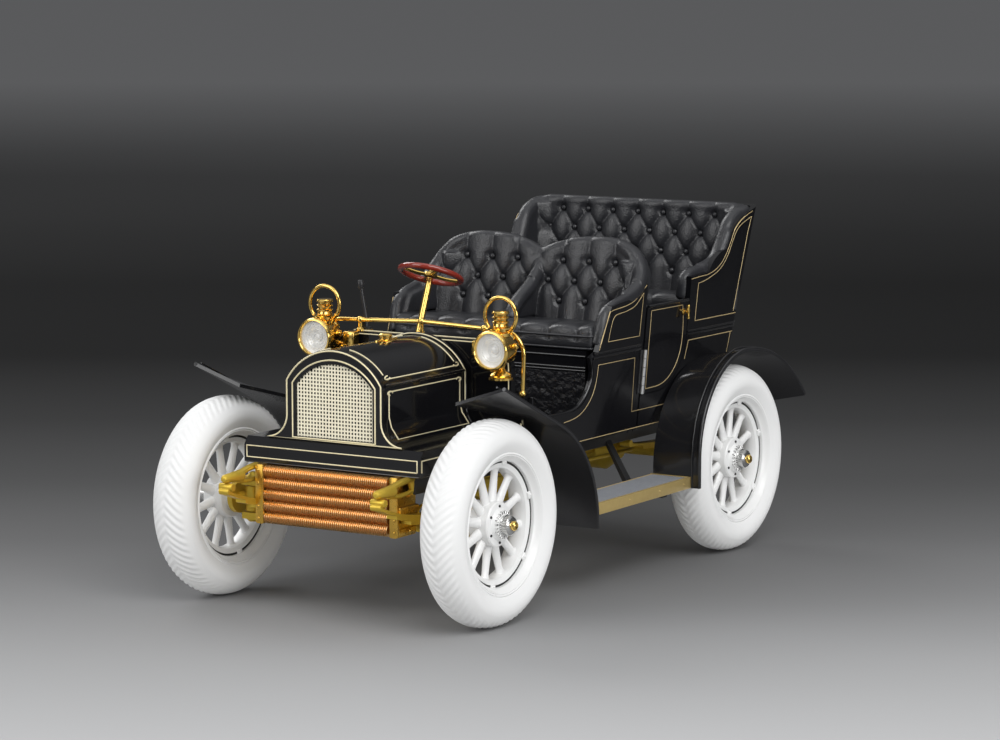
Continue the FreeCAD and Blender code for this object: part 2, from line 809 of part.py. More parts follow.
# Radiator: finned tubes between two riveted side plates.
radiator_back = s.radiator_front - s.radiator_depth
radiator_half = rail_y - s.radiator_rail_inset
radiator_height = s.radiator_top - s.radiator_bottom
inset = s.radiator_core_inset
core = box("core", (s.radiator_depth - inset * 2, radiator_half * 2, radiator_height - inset),
           (FRONT + radiator_back + inset, -radiator_half, s.radiator_bottom + inset / 2))
tube_pitch = radiator_height / s.radiator_tubes
tubes = []
for index in range(int(SIZES["radiator_tubes"])):
    spot = (FRONT + s.radiator_front - s.radiator_tube_radius, -radiator_half,
            s.radiator_bottom + tube_pitch * (index + 0.5))
    tubes.append(rod(f"radiator_tube_{index}", s.radiator_tube_radius, radiator_half * 2, spot, "Y"))
node(fuse("radiator_fused", [core, *tubes]), "radiator")
side_plate_height = s.apron_lip_bottom - s.seated_gap - s.radiator_bottom
side_plate = box("side_plate", (s.radiator_depth, s.radiator_plate, side_plate_height),
                 (FRONT + radiator_back, radiator_half, s.radiator_bottom))
node(both_sides("radiator_plates_pair", side_plate), "radiator_plates")

# Apron: the shelf that carries the bonnet, from the front back to the dash.
dash_front = FRONT - s.bonnet_rear
apron_front = FRONT + s.apron_front
apron_low = RAIL_TOP + s.apron_clearance
apron_side = [
    (apron_front, s.apron_lip_bottom),
    (apron_front, s.apron_top - s.apron_chamfer_height),
    (apron_front - s.apron_chamfer, s.apron_top),
    (dash_front, s.apron_top),
    (dash_front, apron_low),
    (apron_front - s.apron_lip, apron_low),
    (apron_front - s.apron_lip, s.apron_lip_bottom),
]
node(plate("apron_plate", "XZ_Plane", apron_side, s.apron_half_width * 2, symmetric=True), "apron")

# Bonnet and the grille in front of it, of one bell-shaped section.
APRON_TOP = s.apron_top
half = s.bonnet_half
flare = s.bonnet_flare
crown = (half * half + s.bonnet_rise * s.bonnet_rise) / (2 * s.bonnet_rise)
# half-round top on upright sides that flare out at the foot
bell = [
    (half + flare, APRON_TOP, flare, -1),
    (half, APRON_TOP + flare),
    (half, s.bonnet_shoulder, crown, 1),
    (-half, s.bonnet_shoulder),
    (-half, APRON_TOP + flare, flare, -1),
    (-half - flare, APRON_TOP),
]
bonnet_length = s.bonnet_front - s.grille_depth + s.bonnet_rear
node(plate("bonnet_plate", "YZ_Plane", bell, bonnet_length, (dash_front, 0, 0)), "bonnet")
grille_at = (FRONT + s.bonnet_front - s.grille_depth, 0, 0)
node(plate("grille_plate", "YZ_Plane", bell, s.grille_depth, grille_at), "grille")

# Dash: an upright panel with rounded top corners, wider at the foot where it closes the body sides.
dash_corner = s.dash_corner_radius
dash_outline = [
    (-s.dash_foot_half_width, s.body_bottom),
    (s.dash_foot_half_width, s.body_bottom),
    (s.dash_foot_half_width, s.dash_foot_height),
    (s.dash_half_width, s.dash_foot_height),
    (s.dash_half_width, s.dash_top - dash_corner, dash_corner, 1),
    (s.dash_half_width - dash_corner, s.dash_top),
    (-s.dash_half_width + dash_corner, s.dash_top, dash_corner, 1),
    (-s.dash_half_width, s.dash_top - dash_corner),
    (-s.dash_half_width, s.dash_foot_height),
    (-s.dash_foot_half_width, s.dash_foot_height),
]
node(plate("dash_plate", "YZ_Plane", dash_outline, s.dash_thickness, (dash_front, 0, 0), back=True), "dash")


def pipe(name, points, radius, bend):
    """A round tube through points in space, its corners bent to one radius."""
    spots = [Vector(*(as_size(c).value for c in p)) for p in points]
    edges = []
    start = spots[0]
    for before, corner, after in zip(spots, spots[1:], spots[2:]):
        into = (corner - before).normalize()
        away = (after - corner).normalize()
        half_turn = into.getAngle(away) / 2
        back = bend.value * math.tan(half_turn)
        enter, leave = corner - into * back, corner + away * back
        inward = (away - into).normalize()
        middle = corner + inward * (bend.value / math.cos(half_turn) - bend.value)
        edges.append(Part.LineSegment(start, enter).toShape())
        edges.append(Part.Arc(enter, middle, leave).toShape())
        start = leave
    edges.append(Part.LineSegment(start, spots[-1]).toShape())
    path = Part.Wire(edges)
    heading = (spots[1] - spots[0]).normalize()
    section = Part.Wire([Part.Circle(spots[0], heading, radius.value).toShape()])
    thing = doc.addObject("Part::Feature", name)
    thing.Shape = path.makePipeShell([section], True, False)
    return thing


# Brass rail over the dash: a bowed hoop on three posts, with a ball at each post and foot.
dash_middle = dash_front - s.dash_thickness / 2
rail_foot = s.dash_foot_height + s.rail_ball_radius
rail_end = s.dash_top + s.rail_end_rise
rail_crown = rail_end + s.rail_bow
rail_points = [
    (dash_middle, s.rail_foot_half_width, rail_foot),
    (dash_middle, s.rail_half_width, rail_end),
    (dash_middle, 0, rail_crown),
    (dash_middle, -s.rail_half_width, rail_end),
    (dash_middle, -s.rail_foot_half_width, rail_foot),
]
hoop = pipe("hoop", rail_points, s.rail_tube_radius, s.rail_bend)
rail_pieces = [hoop]
for index, side in enumerate((-1, 0, 1)):
    across = s.rail_post_spacing * side
    drop = s.rail_bow * s.rail_post_spacing / s.rail_half_width * abs(side)
    height = rail_crown - drop
    low = s.dash_top + s.seated_gap
    rail_pieces.append(rod(f"rail_post_{index}", s.rail_tube_radius, height - low, (dash_middle, across, low)))
    rail_pieces.append(ball(f"rail_ball_{index}", s.rail_ball_radius, (dash_middle, across, height)))
for index, side in enumerate((-1, 1)):
    spot = (dash_middle, s.rail_foot_half_width * side, rail_foot + s.seated_gap)
    rail_pieces.append(ball(f"rail_foot_{index}", s.rail_ball_radius, spot))
node(fuse("dash_rail_fused", rail_pieces), "dash_rail")

# Control lever beside the column, in a socket on the back of the dash.
lever_y = -s.lever_offset
lever_x = dash_front - s.dash_thickness - s.lever_socket_radius - s.seated_gap
socket_at = (lever_x, lever_y, s.lever_socket_low)
socket = rod("lever_socket", s.lever_socket_radius, s.lever_socket_length, socket_at)
lever_rod = doc.addObject("Part::Cylinder", "lever_rod")
bind(lever_rod, Radius=s.lever_radius, Height=s.lever_length)
put(lever_rod, (lever_x, lever_y, s.lever_socket_low + s.lever_socket_length - s.weld), (1, 0, 0), s.lever_lean)
lever_end = s.lever_length - s.weld
lever_knob = ball("lever_knob", s.lever_radius * 1.6, (
    lever_x,
    lever_y - lever_end * sine(s.lever_lean),
    s.lever_socket_low + s.lever_socket_length + lever_end * cosine(s.lever_lean),
))
node(fuse("lever_fused", [socket, lever_rod, lever_knob]), "control_lever")

# Lamps: drum, bezel, chimney, carrying ring and foot, on a bracket from the dash.
lamp_x = dash_front + s.lamp_ahead_of_dash
lamp_y = s.lamp_spacing / 2
lamp_back = s.lamp_length / 2
lamp_side = s.lamp_radius - s.lamp_lip
lamp_profile = [
    (0, -lamp_back),
    (s.lamp_rear_radius, -lamp_back),
    (lamp_side, -lamp_back + s.lamp_taper),
    (lamp_side, lamp_back - s.lamp_bezel),
    (s.lamp_radius, lamp_back - s.lamp_bezel),
    (s.lamp_radius, lamp_back),
    (lamp_side, lamp_back),
    (lamp_side - s.lamp_lip / 2, lamp_back - s.lamp_lip),
    (0, lamp_back - s.lamp_lip),
]
drum = turned("lamp_drum", lamp_profile, (lamp_x, lamp_y, s.lamp_height), "X")
column_x = lamp_x - s.lamp_column_setback
# chimney: rows of (radius, rise above the row before)
chimney_rows = [
    (s.chimney_radius, s.chimney_drum),
    (s.chimney_neck_radius, s.chimney_step),
    (s.chimney_neck_radius, s.chimney_neck),
    (s.chimney_radius, s.chimney_step),
    (s.chimney_neck_radius, s.chimney_lid),
    (0, s.chimney_top),
]
chimney_at = s.chimney_low
chimney_profile = [(0, chimney_at), (s.chimney_radius, chimney_at)]
for radius, rise in chimney_rows:
    chimney_at = chimney_at + rise
    chimney_profile.append((radius, chimney_at))
chimney = turned("lamp_chimney", chimney_profile, (column_x, lamp_y, s.lamp_height), "Z")
bail = ring("lamp_bail", s.bail_radius, s.bail_wire, (column_x, lamp_y, s.lamp_height + s.bail_rise), "X")
foot_low = s.lamp_height - s.lamp_foot_height
foot = rod("lamp_foot", s.lamp_foot_radius, s.lamp_foot_height, (column_x, lamp_y, foot_low),
           taper=s.lamp_foot_neck)
bracket_length = s.lamp_ahead_of_dash - s.lamp_column_setback - s.seated_gap
bracket = box("lamp_bracket", (bracket_length, s.lamp_bracket_width, s.lamp_bracket_height),
              (dash_front + s.seated_gap, lamp_y - s.lamp_bracket_width, foot_low))
lamp = fuse("lamp_fused", [drum, chimney, bail, foot, bracket])
node(lamp, "lamp_left")
node(mirror("lamp_mirrored", lamp), "lamp_right")

# Steering column and wheel, leaning back on the right-hand side.
lean_axis = (0, 1, 0)
wheel_centre = (FRONT - s.wheel_ahead, -s.wheel_offset, s.wheel_height)
floor_top = s.body_bottom + s.floor_thickness
column_rise = s.wheel_height - floor_top - s.seated_gap
column_length = column_rise / cosine(s.column_lean) - s.column_radius * tangent(s.column_lean)
column_foot = (
    FRONT - s.wheel_ahead + column_length * sine(s.column_lean),
    -s.wheel_offset,
    s.wheel_height - column_length * cosine(s.column_lean),
)
column = doc.addObject("Part::Cylinder", "column")
bind(column, Radius=s.column_radius, Height=column_length - s.rim_tube - s.end_clearance)
node(put(column, column_foot, lean_axis, -s.column_lean), "steering_column")
rim = ring("steering_rim", s.rim_radius, s.rim_tube, (0, 0, 0))
steering_hub = rod("steering_hub", s.wheel_hub_radius, s.rim_tube * 2, (0, 0, -s.rim_tube))
spider = []
for index in range(int(SIZES["spider_spokes"])):
    spoke = rod(f"spider_{index}", s.spider_radius, s.rim_radius, (0, 0, 0), "X")
    around = 360 / SIZES["spider_spokes"] * (index + 0.5)
    spoke.Placement = Placement(Vector(), Rotation(Vector(0, 0, 1), around)).multiply(spoke.Placement)
    spider.append(spoke)
steering_wheel = fuse("steering_wheel_fused", [rim, steering_hub, *spider])
node(put(steering_wheel, wheel_centre, lean_axis, -s.column_lean), "steering_wheel")

# Floor, and the toe board that slopes up to the dash.
floor_front = dash_front - s.dash_thickness
floor_rear = FRONT - s.tub_rear + s.tub_corner_radius
floor_half = s.body_half_width - s.panel - s.seated_gap * 2
floor_side = [
    (floor_front, s.body_bottom),
    (floor_front, s.body_bottom + s.toe_board_height),
    (floor_front - s.toe_board_top, s.body_bottom + s.toe_board_height),
    (floor_front - s.toe_board_length, floor_top),
    (floor_rear, floor_top),
    (floor_rear, s.body_bottom),
]
node(plate("floor_plate", "XZ_Plane", floor_side, floor_half * 2, symmetric=True), "floor")

# Side panels: leaning plates from the dash to the tonneau door, with the scooped entry.
door_hinge_x = FRONT - s.door_front
panel_end = door_hinge_x + s.hinge_radius + s.hinge_clearance


def leaned(name, corners, thickness, inset=0):
    """A plate in the plane of the left body side; corner heights are measured up the slope."""
    low = s.body_half_width - thickness / cosine(s.side_lean) - inset
    thing = plate(name, "XZ_Plane", corners, thickness, (0, low, s.body_bottom), (1, 0, 0), -s.side_lean, back=True)
    return thing


def up(height):
    """The distance up the leaning side to a height above the ground."""
    return (height - s.body_bottom) / cosine(s.side_lean)


def raised(rows, rise):
    """Corners given by heights, raised and carried into the plane of the side."""
    return [(row[0], up(row[1] + rise), *row[2:]) for row in rows]


seat_side = [
    (FRONT - s.seat_side_front, s.seat_side_front_height),
    (FRONT - s.seat_side_low, s.seat_side_low_height, s.seat_side_radius, 1),
    (FRONT - s.seat_side_rear, s.seat_side_rear_height),
]
side_corners = [
    (FRONT - s.side_front, 0),
    (FRONT - s.side_front, up(s.side_front_height), s.scoop_front_radius, -1),
    (FRONT - s.scoop_front, up(s.scoop_height)),
    (FRONT - s.scoop_rear, up(s.scoop_height), s.scoop_rear_radius, -1),
    (FRONT - s.scoop_end, up(s.scoop_end_height)),
    (FRONT - s.panel_nose, up(s.panel_nose_height)),
    (FRONT - s.seat_front, up(s.seat_height)),
    *raised(seat_side, 0),
    (panel_end, up(s.seat_side_rear_height)),
    (panel_end, 0),
]
side_panel = leaned("side_panel", side_corners, s.panel)
node(side_panel, "side_panel_left")
node(mirror("side_panel_mirrored", side_panel), "side_panel_right")

# Front seat: box, cushion, back shell and backrests.
seat_box_length = s.door_front - s.seat_front
seat_box_half = s.body_half_width - s.panel - s.seated_gap * 2
seat_box = box("seat_box_block", (seat_box_length, seat_box_half * 2, s.seat_height - floor_top),
               (door_hinge_x, -seat_box_half, floor_top))
node(seat_box, "seat_box")
cushion_half = side_at(s.seat_height) - s.panel - s.end_clearance
cushion = box("front_cushion", (s.cushion_length, cushion_half * 2, s.cushion_height),
              (FRONT - s.seat_front - s.cushion_length, -cushion_half, s.seat_height))
node(cushion, "front_cushion")


back_half = cushion_half
backrest_x = FRONT - s.seat_front - s.cushion_length - s.end_clearance
backrest_low = s.seat_height + s.backrest_thickness * sine(s.backrest_lean) + s.end_clearance
shoulder_half = back_half + s.backrest_shoulder_out
shoulder_bend = s.backrest_shoulder_radius
crown = s.backrest_height
backs_outline = [
    (-back_half, 0),
    (back_half, 0),
    (shoulder_half, s.backrest_shoulder, shoulder_bend, 1),
    (s.backrest_crown_out, crown),
    (s.backrest_crown_in, crown, s.backrest_dip_radius, 1),
    (0, s.backrest_dip, s.backrest_dip_radius, 1),
    (-s.backrest_crown_in, crown),
    (-s.backrest_crown_out, crown, shoulder_bend, 1),
    (-shoulder_half, s.backrest_shoulder),
]
twin_backs = plate("twin_backs", "YZ_Plane", backs_outline, s.backrest_thickness,
                   (backrest_x, 0, backrest_low), (0, 1, 0), -s.backrest_lean, back=True)
cushion_top = s.seat_height + s.cushion_height
arm_corners = [
    (FRONT - s.arm_rest_front, up(cushion_top + s.end_clearance)),
    *raised([(FRONT - s.arm_rest_front, s.seat_side_front_height), *seat_side[1:]], s.arm_rest_rise),
    (FRONT - s.seat_side_rear, up(cushion_top + s.end_clearance)),
]
arm_rest = leaned("arm_rest", arm_corners, s.arm_rest_thickness, s.panel + s.seated_gap * 2)
divider_side = [
    (FRONT - s.divider_front, cushion_top + s.end_clearance),
    (FRONT - s.divider_knee, s.divider_knee_height),
    (FRONT - s.divider_rear, s.divider_rear_height),
    (FRONT - s.divider_rear, cushion_top + s.end_clearance),
]
divider = plate("divider", "XZ_Plane", divider_side, s.divider_thickness, symmetric=True)
front_backs = fuse("front_backs_fused", [twin_backs, divider, arm_rest, mirror("arm_rest_right", arm_rest)])
node(front_backs, "front_backs")

# Rear body: the tonneau tub, lofted, hollowed and cut to the door and the swept top.


def tub_section(half, rear, front, radius):
    return [
        (front, -half),
        (front, half),
        (rear + radius, half, radius, 1),
        (rear, half - radius),
        (rear, -half + radius, radius, 1),
        (rear + radius, -half),
    ]


tub = new_body("tub")
tub_height = s.tub_top - s.body_bottom
tub_back = FRONT - s.tub_rear
lean_back = tangent(s.tub_rear_lean) * tub_height
tub_front = door_hinge_x


def tub_loft(kind, inset, front, floor_height):
    low_half = side_at(floor_height) - inset
    low_rear = tub_back - tangent(s.tub_rear_lean) * (floor_height - s.body_bottom) + inset
    high_half = side_at(s.tub_top) - inset
    high_rear = tub_back - lean_back + inset
    radius = s.tub_corner_radius - inset
    loft = tub.newObject("PartDesign::" + kind, "tub_" + kind.lower())
    low = outline(tub, "XY_Plane", tub_section(low_half, low_rear, front, radius), floor_height)
    high = outline(tub, "XY_Plane", tub_section(high_half, high_rear, front, radius), s.tub_top)
    loft.Profile = low
    loft.Sections = [(high, [""])]
    loft.Ruled = True
    return loft


tub_loft("AdditiveLoft", 0, tub_front, s.body_bottom)
tub_loft("SubtractiveLoft", s.panel, tub_front + s.cut_over, s.body_bottom)
door_gap = s.panel_gap
door_rear_x = FRONT - s.door_rear
door_corner = s.door_corner_radius
over = s.tub_top + s.cut_over
doorway = outline(tub, "XZ_Plane", [
    (tub_front + s.cut_over, s.door_bottom - door_gap),
    (tub_front + s.cut_over, over),
    (door_rear_x - door_gap, over),
    (door_rear_x - door_gap, s.door_bottom - door_gap + door_corner, door_corner, 1),
    (door_rear_x - door_gap + door_corner, s.door_bottom - door_gap),
])
rear_side = [
    (door_rear_x, s.sweep_front_height),
    (FRONT - s.sweep_bend, s.sweep_bend_height, s.sweep_bend_radius, 1),
    (FRONT - s.sweep_low, s.sweep_low_height),
    (FRONT - s.sweep_rise, s.sweep_rise_height, s.sweep_rise_radius, -1),
    (FRONT - s.sweep_high, s.sweep_high_height),
    (FRONT - s.sweep_end, s.tub_top),
]
top_sweep = outline(tub, "XZ_Plane", [
    *rear_side,
    (FRONT - s.sweep_end, over),
    (door_rear_x, over),
])
for sketch in (doorway, top_sweep):
    pocket = feature(tub, "Pocket", sketch, Length=s.track * 2)
    pocket.SideType = 2
node(tub, "rear_body")

# Rear seat.
rear_seat_front = FRONT - s.rear_seat_face
rear_seat_back = rear_seat_front - s.rear_cushion_length
rear_box_half = s.body_half_width - s.panel - s.end_clearance
rear_box = box("rear_box", (s.rear_box_length, rear_box_half * 2, s.rear_seat_height - floor_top),
               (rear_seat_front - s.rear_box_length, -rear_box_half, floor_top))
node(rear_box, "rear_seat_box")
rear_cushion_half = side_at(s.rear_seat_height) - s.panel - s.end_clearance
rear_cushion = box("rear_cushion_block", (s.rear_cushion_length, rear_cushion_half * 2, s.rear_cushion_height),
                   (rear_seat_back, -rear_cushion_half, s.rear_seat_height))
node(rear_cushion, "rear_cushion")
rear_back_half = side_at(s.rear_seat_height) - s.panel - s.arm_rest_thickness / 2
rear_top_half = side_at(s.tub_top) - s.panel - s.end_clearance
rear_back_height = (s.rear_back_top - s.rear_seat_height) / cosine(s.rear_back_lean)
back_corner = s.rear_back_corner
rear_back_corners = [
    (-rear_back_half, 0),
    (rear_back_half, 0),
    (rear_top_half, rear_back_height - back_corner, back_corner, 1),
    (rear_top_half - back_corner, rear_back_height),
    (-rear_top_half + back_corner, rear_back_height, back_corner, 1),
    (-rear_top_half, rear_back_height - back_corner),
]
rear_back = plate("rear_back_plate", "YZ_Plane", rear_back_corners, s.rear_back_thickness,
                  (rear_seat_back - s.end_clearance, 0, s.rear_seat_height), (0, 1, 0), -s.rear_back_lean, back=True)
roll_low = (
    rear_seat_back - tangent(s.rear_back_lean) * (s.rear_back_top - s.rear_seat_height) - s.rear_roll_radius,
    back_corner - rear_top_half,
    s.rear_back_top - s.rear_roll_radius,
)
rear_roll = rod("rear_roll", s.rear_roll_radius, (rear_top_half - back_corner) * 2, roll_low, "Y")
wing_low = up(s.rear_seat_height + s.rear_cushion_height + s.end_clearance)
wing_corners = [
    (FRONT - s.wing_front, wing_low),
    *raised([(FRONT - s.wing_front, s.sweep_front_height), *rear_side[1:5]], s.wing_rise),
    (FRONT - s.wing_rear, up(s.sweep_high_height + s.wing_rise)),
    (FRONT - s.wing_foot_rear, wing_low),
]
wing = leaned("rear_wing", wing_corners, s.arm_rest_thickness, s.panel + s.seated_gap * 2)
node(fuse("rear_backrest_fused", [rear_back, rear_roll, wing, mirror("rear_wing_right", wing)]), "rear_backrest")

# Tonneau doors, hinged along their front edge in the plane of the side.
door_corners = [
    (door_hinge_x - s.door_start, up(s.door_bottom)),
    (door_hinge_x - s.door_start, up(s.door_top)),
    (door_rear_x, up(s.door_top)),
    (door_rear_x, up(s.door_bottom + door_corner), door_corner, 1),
    (door_rear_x + door_corner, up(s.door_bottom)),
]
door_plate = leaned("door_plate", door_corners, s.panel)
hinge = doc.addObject("Part::Cylinder", "hinge")
bind(hinge, Radius=s.hinge_radius, Height=s.hinge_length)
hinge_foot = (door_hinge_x, side_at(s.door_bottom) + s.hinge_stand_off, s.door_bottom)
put(hinge, hinge_foot, (1, 0, 0), -s.side_lean)
door = fuse("door", [door_plate, hinge])
node(door, "door_left")
node(mirror("door_mirrored", door), "door_right")
handle_z = s.door_top - s.handle_drop
handle_x = door_rear_x + s.handle_set_back
handle_y = side_at(handle_z) + s.seated_gap
handle_stem = rod("handle_stem", s.handle_stem_radius, s.handle_stem, (handle_x, handle_y, handle_z), "Y")
handle_low = (handle_x, handle_y + s.handle_stem, handle_z - s.handle_length / 2)
handle_bar = rod("handle_bar", s.handle_radius, s.handle_length, handle_low)
handle = fuse("handle_fused", [handle_stem, handle_bar])
node(handle, "handle_left")
node(mirror("handle_mirrored", handle), "handle_right")


def band(start, heading, legs, thickness):
    """Corners of a band of one thickness along legs of (length, 0) or (radius, turn in degrees)."""

    def walk(offset):
        angle = as_size(heading)
        u = start[0] - sine(angle) * offset
        v = start[1] + cosine(angle) * offset
        rows = []
        for size, turn in legs:
            turn = as_size(turn)
            if turn.value == 0:
                rows.append((u, v))
                u, v = u + cosine(angle) * size, v + sine(angle) * size
                continue
            sign = 1 if turn.value > 0 else -1
            radius = size - offset * sign
            rows.append((u, v, radius, sign))
            after = angle + turn
            u = u + radius * sign * (sine(after) - sine(angle))
            v = v + radius * sign * (cosine(angle) - cosine(after))
            angle = after
        rows.append((u, v))
        return rows

    rows = walk(as_size(0))
    back = walk(as_size(thickness))
    for index in range(len(back) - 1, -1, -1):
        bend = back[index - 1][2:] if index else ()
        rows.append(back[index][:2] + ((bend[0], -bend[1]) if bend else ()))
    return rows


def level_foot(body, foot):
    """Cut a mudguard off level, at a height above the ground."""
    low = [(-s.wheelbase, foot), (-s.wheelbase, -s.tyre_radius), (s.wheelbase, -s.tyre_radius), (s.wheelbase, foot)]
    trim = feature(body, "Pocket", outline(body, "XZ_Plane", low), Length=s.track * 2)
    trim.SideType = 2


def mudguard(name, start, heading, legs, rise, foot):
    """A rolled band over one wheel, its outer edge higher than its inner edge, cut level at the foot."""
    width = s.guard_outer - s.guard_inner
    body = new_body(name)
    skin = band(start, heading, legs, s.guard_thickness)
    slope = (0, width, rise)
    pad(body, outline(body, "XZ_Plane", skin, -s.guard_inner), width, direction=slope)
    level_foot(body, foot)
    return put(body)


def guard_line(tip_height, slope, straight):
    """Outline of the front mudguard's inner or outer edge, and the radius that brings it to its foot."""
    reach = s.front_guard_tip + s.front_guard_behind
    radius = (reach - straight * cosine(slope)) / (1 - sine(slope))
    legs = [(straight, 0), (radius, s.guard_full_turn - slope), (s.cut_over, 0)]
    return band((FRONT + s.front_guard_tip, tip_height), 180 + slope, legs, s.guard_thickness)


# Front mudguard: the outer edge stands higher at the tip, and both edges come to one foot.
front_guard = new_body("front_guard")
guard_loft = front_guard.newObject("PartDesign::AdditiveLoft", "guard_loft")
inner_line = guard_line(s.guard_inner_tip_height, s.guard_inner_slope, s.guard_inner_straight)
outer_line = guard_line(s.guard_outer_tip_height, s.guard_outer_slope, s.guard_outer_straight)
guard_loft.Profile = outline(front_guard, "XZ_Plane", inner_line, -s.guard_inner)
guard_loft.Sections = [(outline(front_guard, "XZ_Plane", outer_line, -s.guard_outer), [""])]
guard_loft.Ruled = True
level_foot(front_guard, s.front_guard_foot)
node(both_sides("front_guards_pair", front_guard), "front_mudguards")
rear_guard_radius = s.tyre_radius + s.rear_guard_clearance
board_bottom = s.board_top - s.board_thickness
rear_guard = mudguard(
    "rear_guard",
    (REAR + rear_guard_radius, board_bottom - s.rear_guard_rise),
    as_size(90),
    [
        (s.tyre_radius - board_bottom + s.rear_guard_rise, 0),
        (rear_guard_radius, 90),
        (s.rear_guard_tail_radius, s.rear_guard_tail_turn),
    ],
    s.rear_guard_rise,
    board_bottom,
)
node(both_sides("rear_guards_pair", rear_guard), "rear_mudguards")

# Running boards between the mudguards, on two brackets a side.
board_front = FRONT - s.front_guard_behind - s.seated_gap * 2
board_rear = REAR + rear_guard_radius + s.seated_gap * 2
board = box("board", (board_front - board_rear, s.board_outer - s.board_inner, s.board_thickness),
            (board_rear, s.board_inner, board_bottom))
node(both_sides("running_boards_pair", board), "running_boards")
bracket_top = board_bottom
bracket_low = bracket_top - s.bracket_width
bracket_bend = s.board_inner - s.bracket_inset
bracket_end = s.board_outer - s.bracket_reach
bracket_side = [
    (rail_y + s.rail_width / 2, RAIL_BOTTOM + s.bracket_width),
    (rail_y + s.rail_width / 2, RAIL_BOTTOM),
    (bracket_bend, bracket_low),
    (bracket_end, bracket_low),
    (bracket_end, bracket_top),
    (bracket_bend + s.bracket_width / 2, bracket_top),
]
brackets = [
    plate(f"step_bracket_{index}", "YZ_Plane", bracket_side, s.bracket_depth, (FRONT - behind, 0, 0), symmetric=True)
    for index, behind in enumerate((s.bracket_front, s.bracket_rear))
]
node(both_sides("step_brackets_pair", fuse("step_brackets_left", brackets)), "step_brackets")

doc.recompute()

failed = [thing.Name for thing in doc.Objects if {"Invalid", "Error"} & set(thing.State)]
for thing in NODES:
    if thing.Shape.isNull() or not thing.Shape.isValid() or not thing.Shape.Solids:
        failed.append(thing.Label)
if failed:
    raise SystemExit("failed: " + ", ".join(failed))

os.makedirs("parts", exist_ok=True)
for thing in NODES:
    thing.Shape.exportStep(f"parts/{thing.Label}.step")
    low, high = thing.Shape.BoundBox, thing.Shape.Volume
    print(f"{thing.Label:20s} solids {len(thing.Shape.Solids)} volume {high:9.1f} mm3  "
          f"x {low.XMin:7.1f} {low.XMax:7.1f}  y {low.YMin:6.1f} {low.YMax:6.1f}  z {low.ZMin:5.1f} {low.ZMax:5.1f}")
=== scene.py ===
import bpy
import math
from mathutils import Matrix, Vector


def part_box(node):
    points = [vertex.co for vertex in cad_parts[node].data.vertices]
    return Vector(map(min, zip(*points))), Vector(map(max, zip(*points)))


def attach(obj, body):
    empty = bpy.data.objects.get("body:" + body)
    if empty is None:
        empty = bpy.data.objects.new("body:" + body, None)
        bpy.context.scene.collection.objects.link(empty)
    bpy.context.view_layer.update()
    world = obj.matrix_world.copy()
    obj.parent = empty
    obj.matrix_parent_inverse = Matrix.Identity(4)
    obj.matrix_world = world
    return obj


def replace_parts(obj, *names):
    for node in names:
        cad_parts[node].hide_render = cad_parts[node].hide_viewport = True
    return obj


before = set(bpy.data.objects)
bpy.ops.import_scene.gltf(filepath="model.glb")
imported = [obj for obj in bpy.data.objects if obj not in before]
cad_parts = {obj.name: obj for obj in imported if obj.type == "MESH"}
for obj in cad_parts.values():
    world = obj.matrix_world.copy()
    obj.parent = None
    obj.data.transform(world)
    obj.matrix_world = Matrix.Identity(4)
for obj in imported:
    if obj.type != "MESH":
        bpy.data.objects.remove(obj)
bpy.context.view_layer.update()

# Studio: a grey floor with painted light in its colour, a bright pool just before the car that darkens
# behind it and lifts again far off; one large soft lamp over the left front and three fills. The camera
# stands low off the front left corner, with a long lens. All the car's measures below are in millimetres,
# and those along it are taken from its front axle.
MM = 0.001
low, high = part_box("tyre_front_left")
AXLE = (low.x + high.x) / 2 / MM
ahead, aside, up = 666.2, 456.2, 165.1
yaw, pitch = math.radians(-148.19), math.radians(-7.385)
bpy.ops.object.camera_add(location=((AXLE + ahead) * MM, aside * MM, up * MM))
camera = bpy.context.object
look = Vector((math.cos(yaw) * math.cos(pitch), math.sin(yaw) * math.cos(pitch), math.sin(pitch)))
camera.rotation_euler = look.to_track_quat("-Z", "Y").to_euler()
camera.data.lens = 117.83
camera.data.clip_start = 0.01
bpy.context.scene.camera = camera
bpy.context.scene.view_settings.view_transform = "Standard"

bpy.ops.mesh.primitive_circle_add(vertices=96, radius=16, fill_type="NGON", location=(0, 0, 0))
studio_floor = bpy.context.object
studio_floor.name = "studio_floor"

# lamps: name, place, size, watts
for name, place, size, watts in (
    ("key_lamp", (0.55, 0.75, 0.95), (0.9, 0.7), 8.4),
    ("side_lamp", (0.25, 0.95, 0.22), (0.6, 0.3), 2.4),
    ("front_lamp", (0.95, -0.45, 0.55), (0.6, 0.9), 4.4),
    ("rear_lamp", (-0.40, -1.00, 0.80), (0.8, 0.5), 5.0),
):
    bpy.ops.object.light_add(type="AREA", location=place)
    lamp = bpy.context.object
    lamp.name = name
    lamp.data.shape = "RECTANGLE"
    lamp.data.size, lamp.data.size_y = size
    lamp.data.energy = watts
    lamp.rotation_euler = (Vector((0, 0, 0.04)) - Vector(place)).to_track_quat("-Z", "Y").to_euler()

world = bpy.data.worlds.new("studio")
bpy.context.scene.world = world
world.use_nodes = True
sky = world.node_tree.nodes["Background"]
sky.inputs["Color"].default_value = (0.74, 0.75, 0.77, 1)
sky.inputs["Strength"].default_value = 0.68
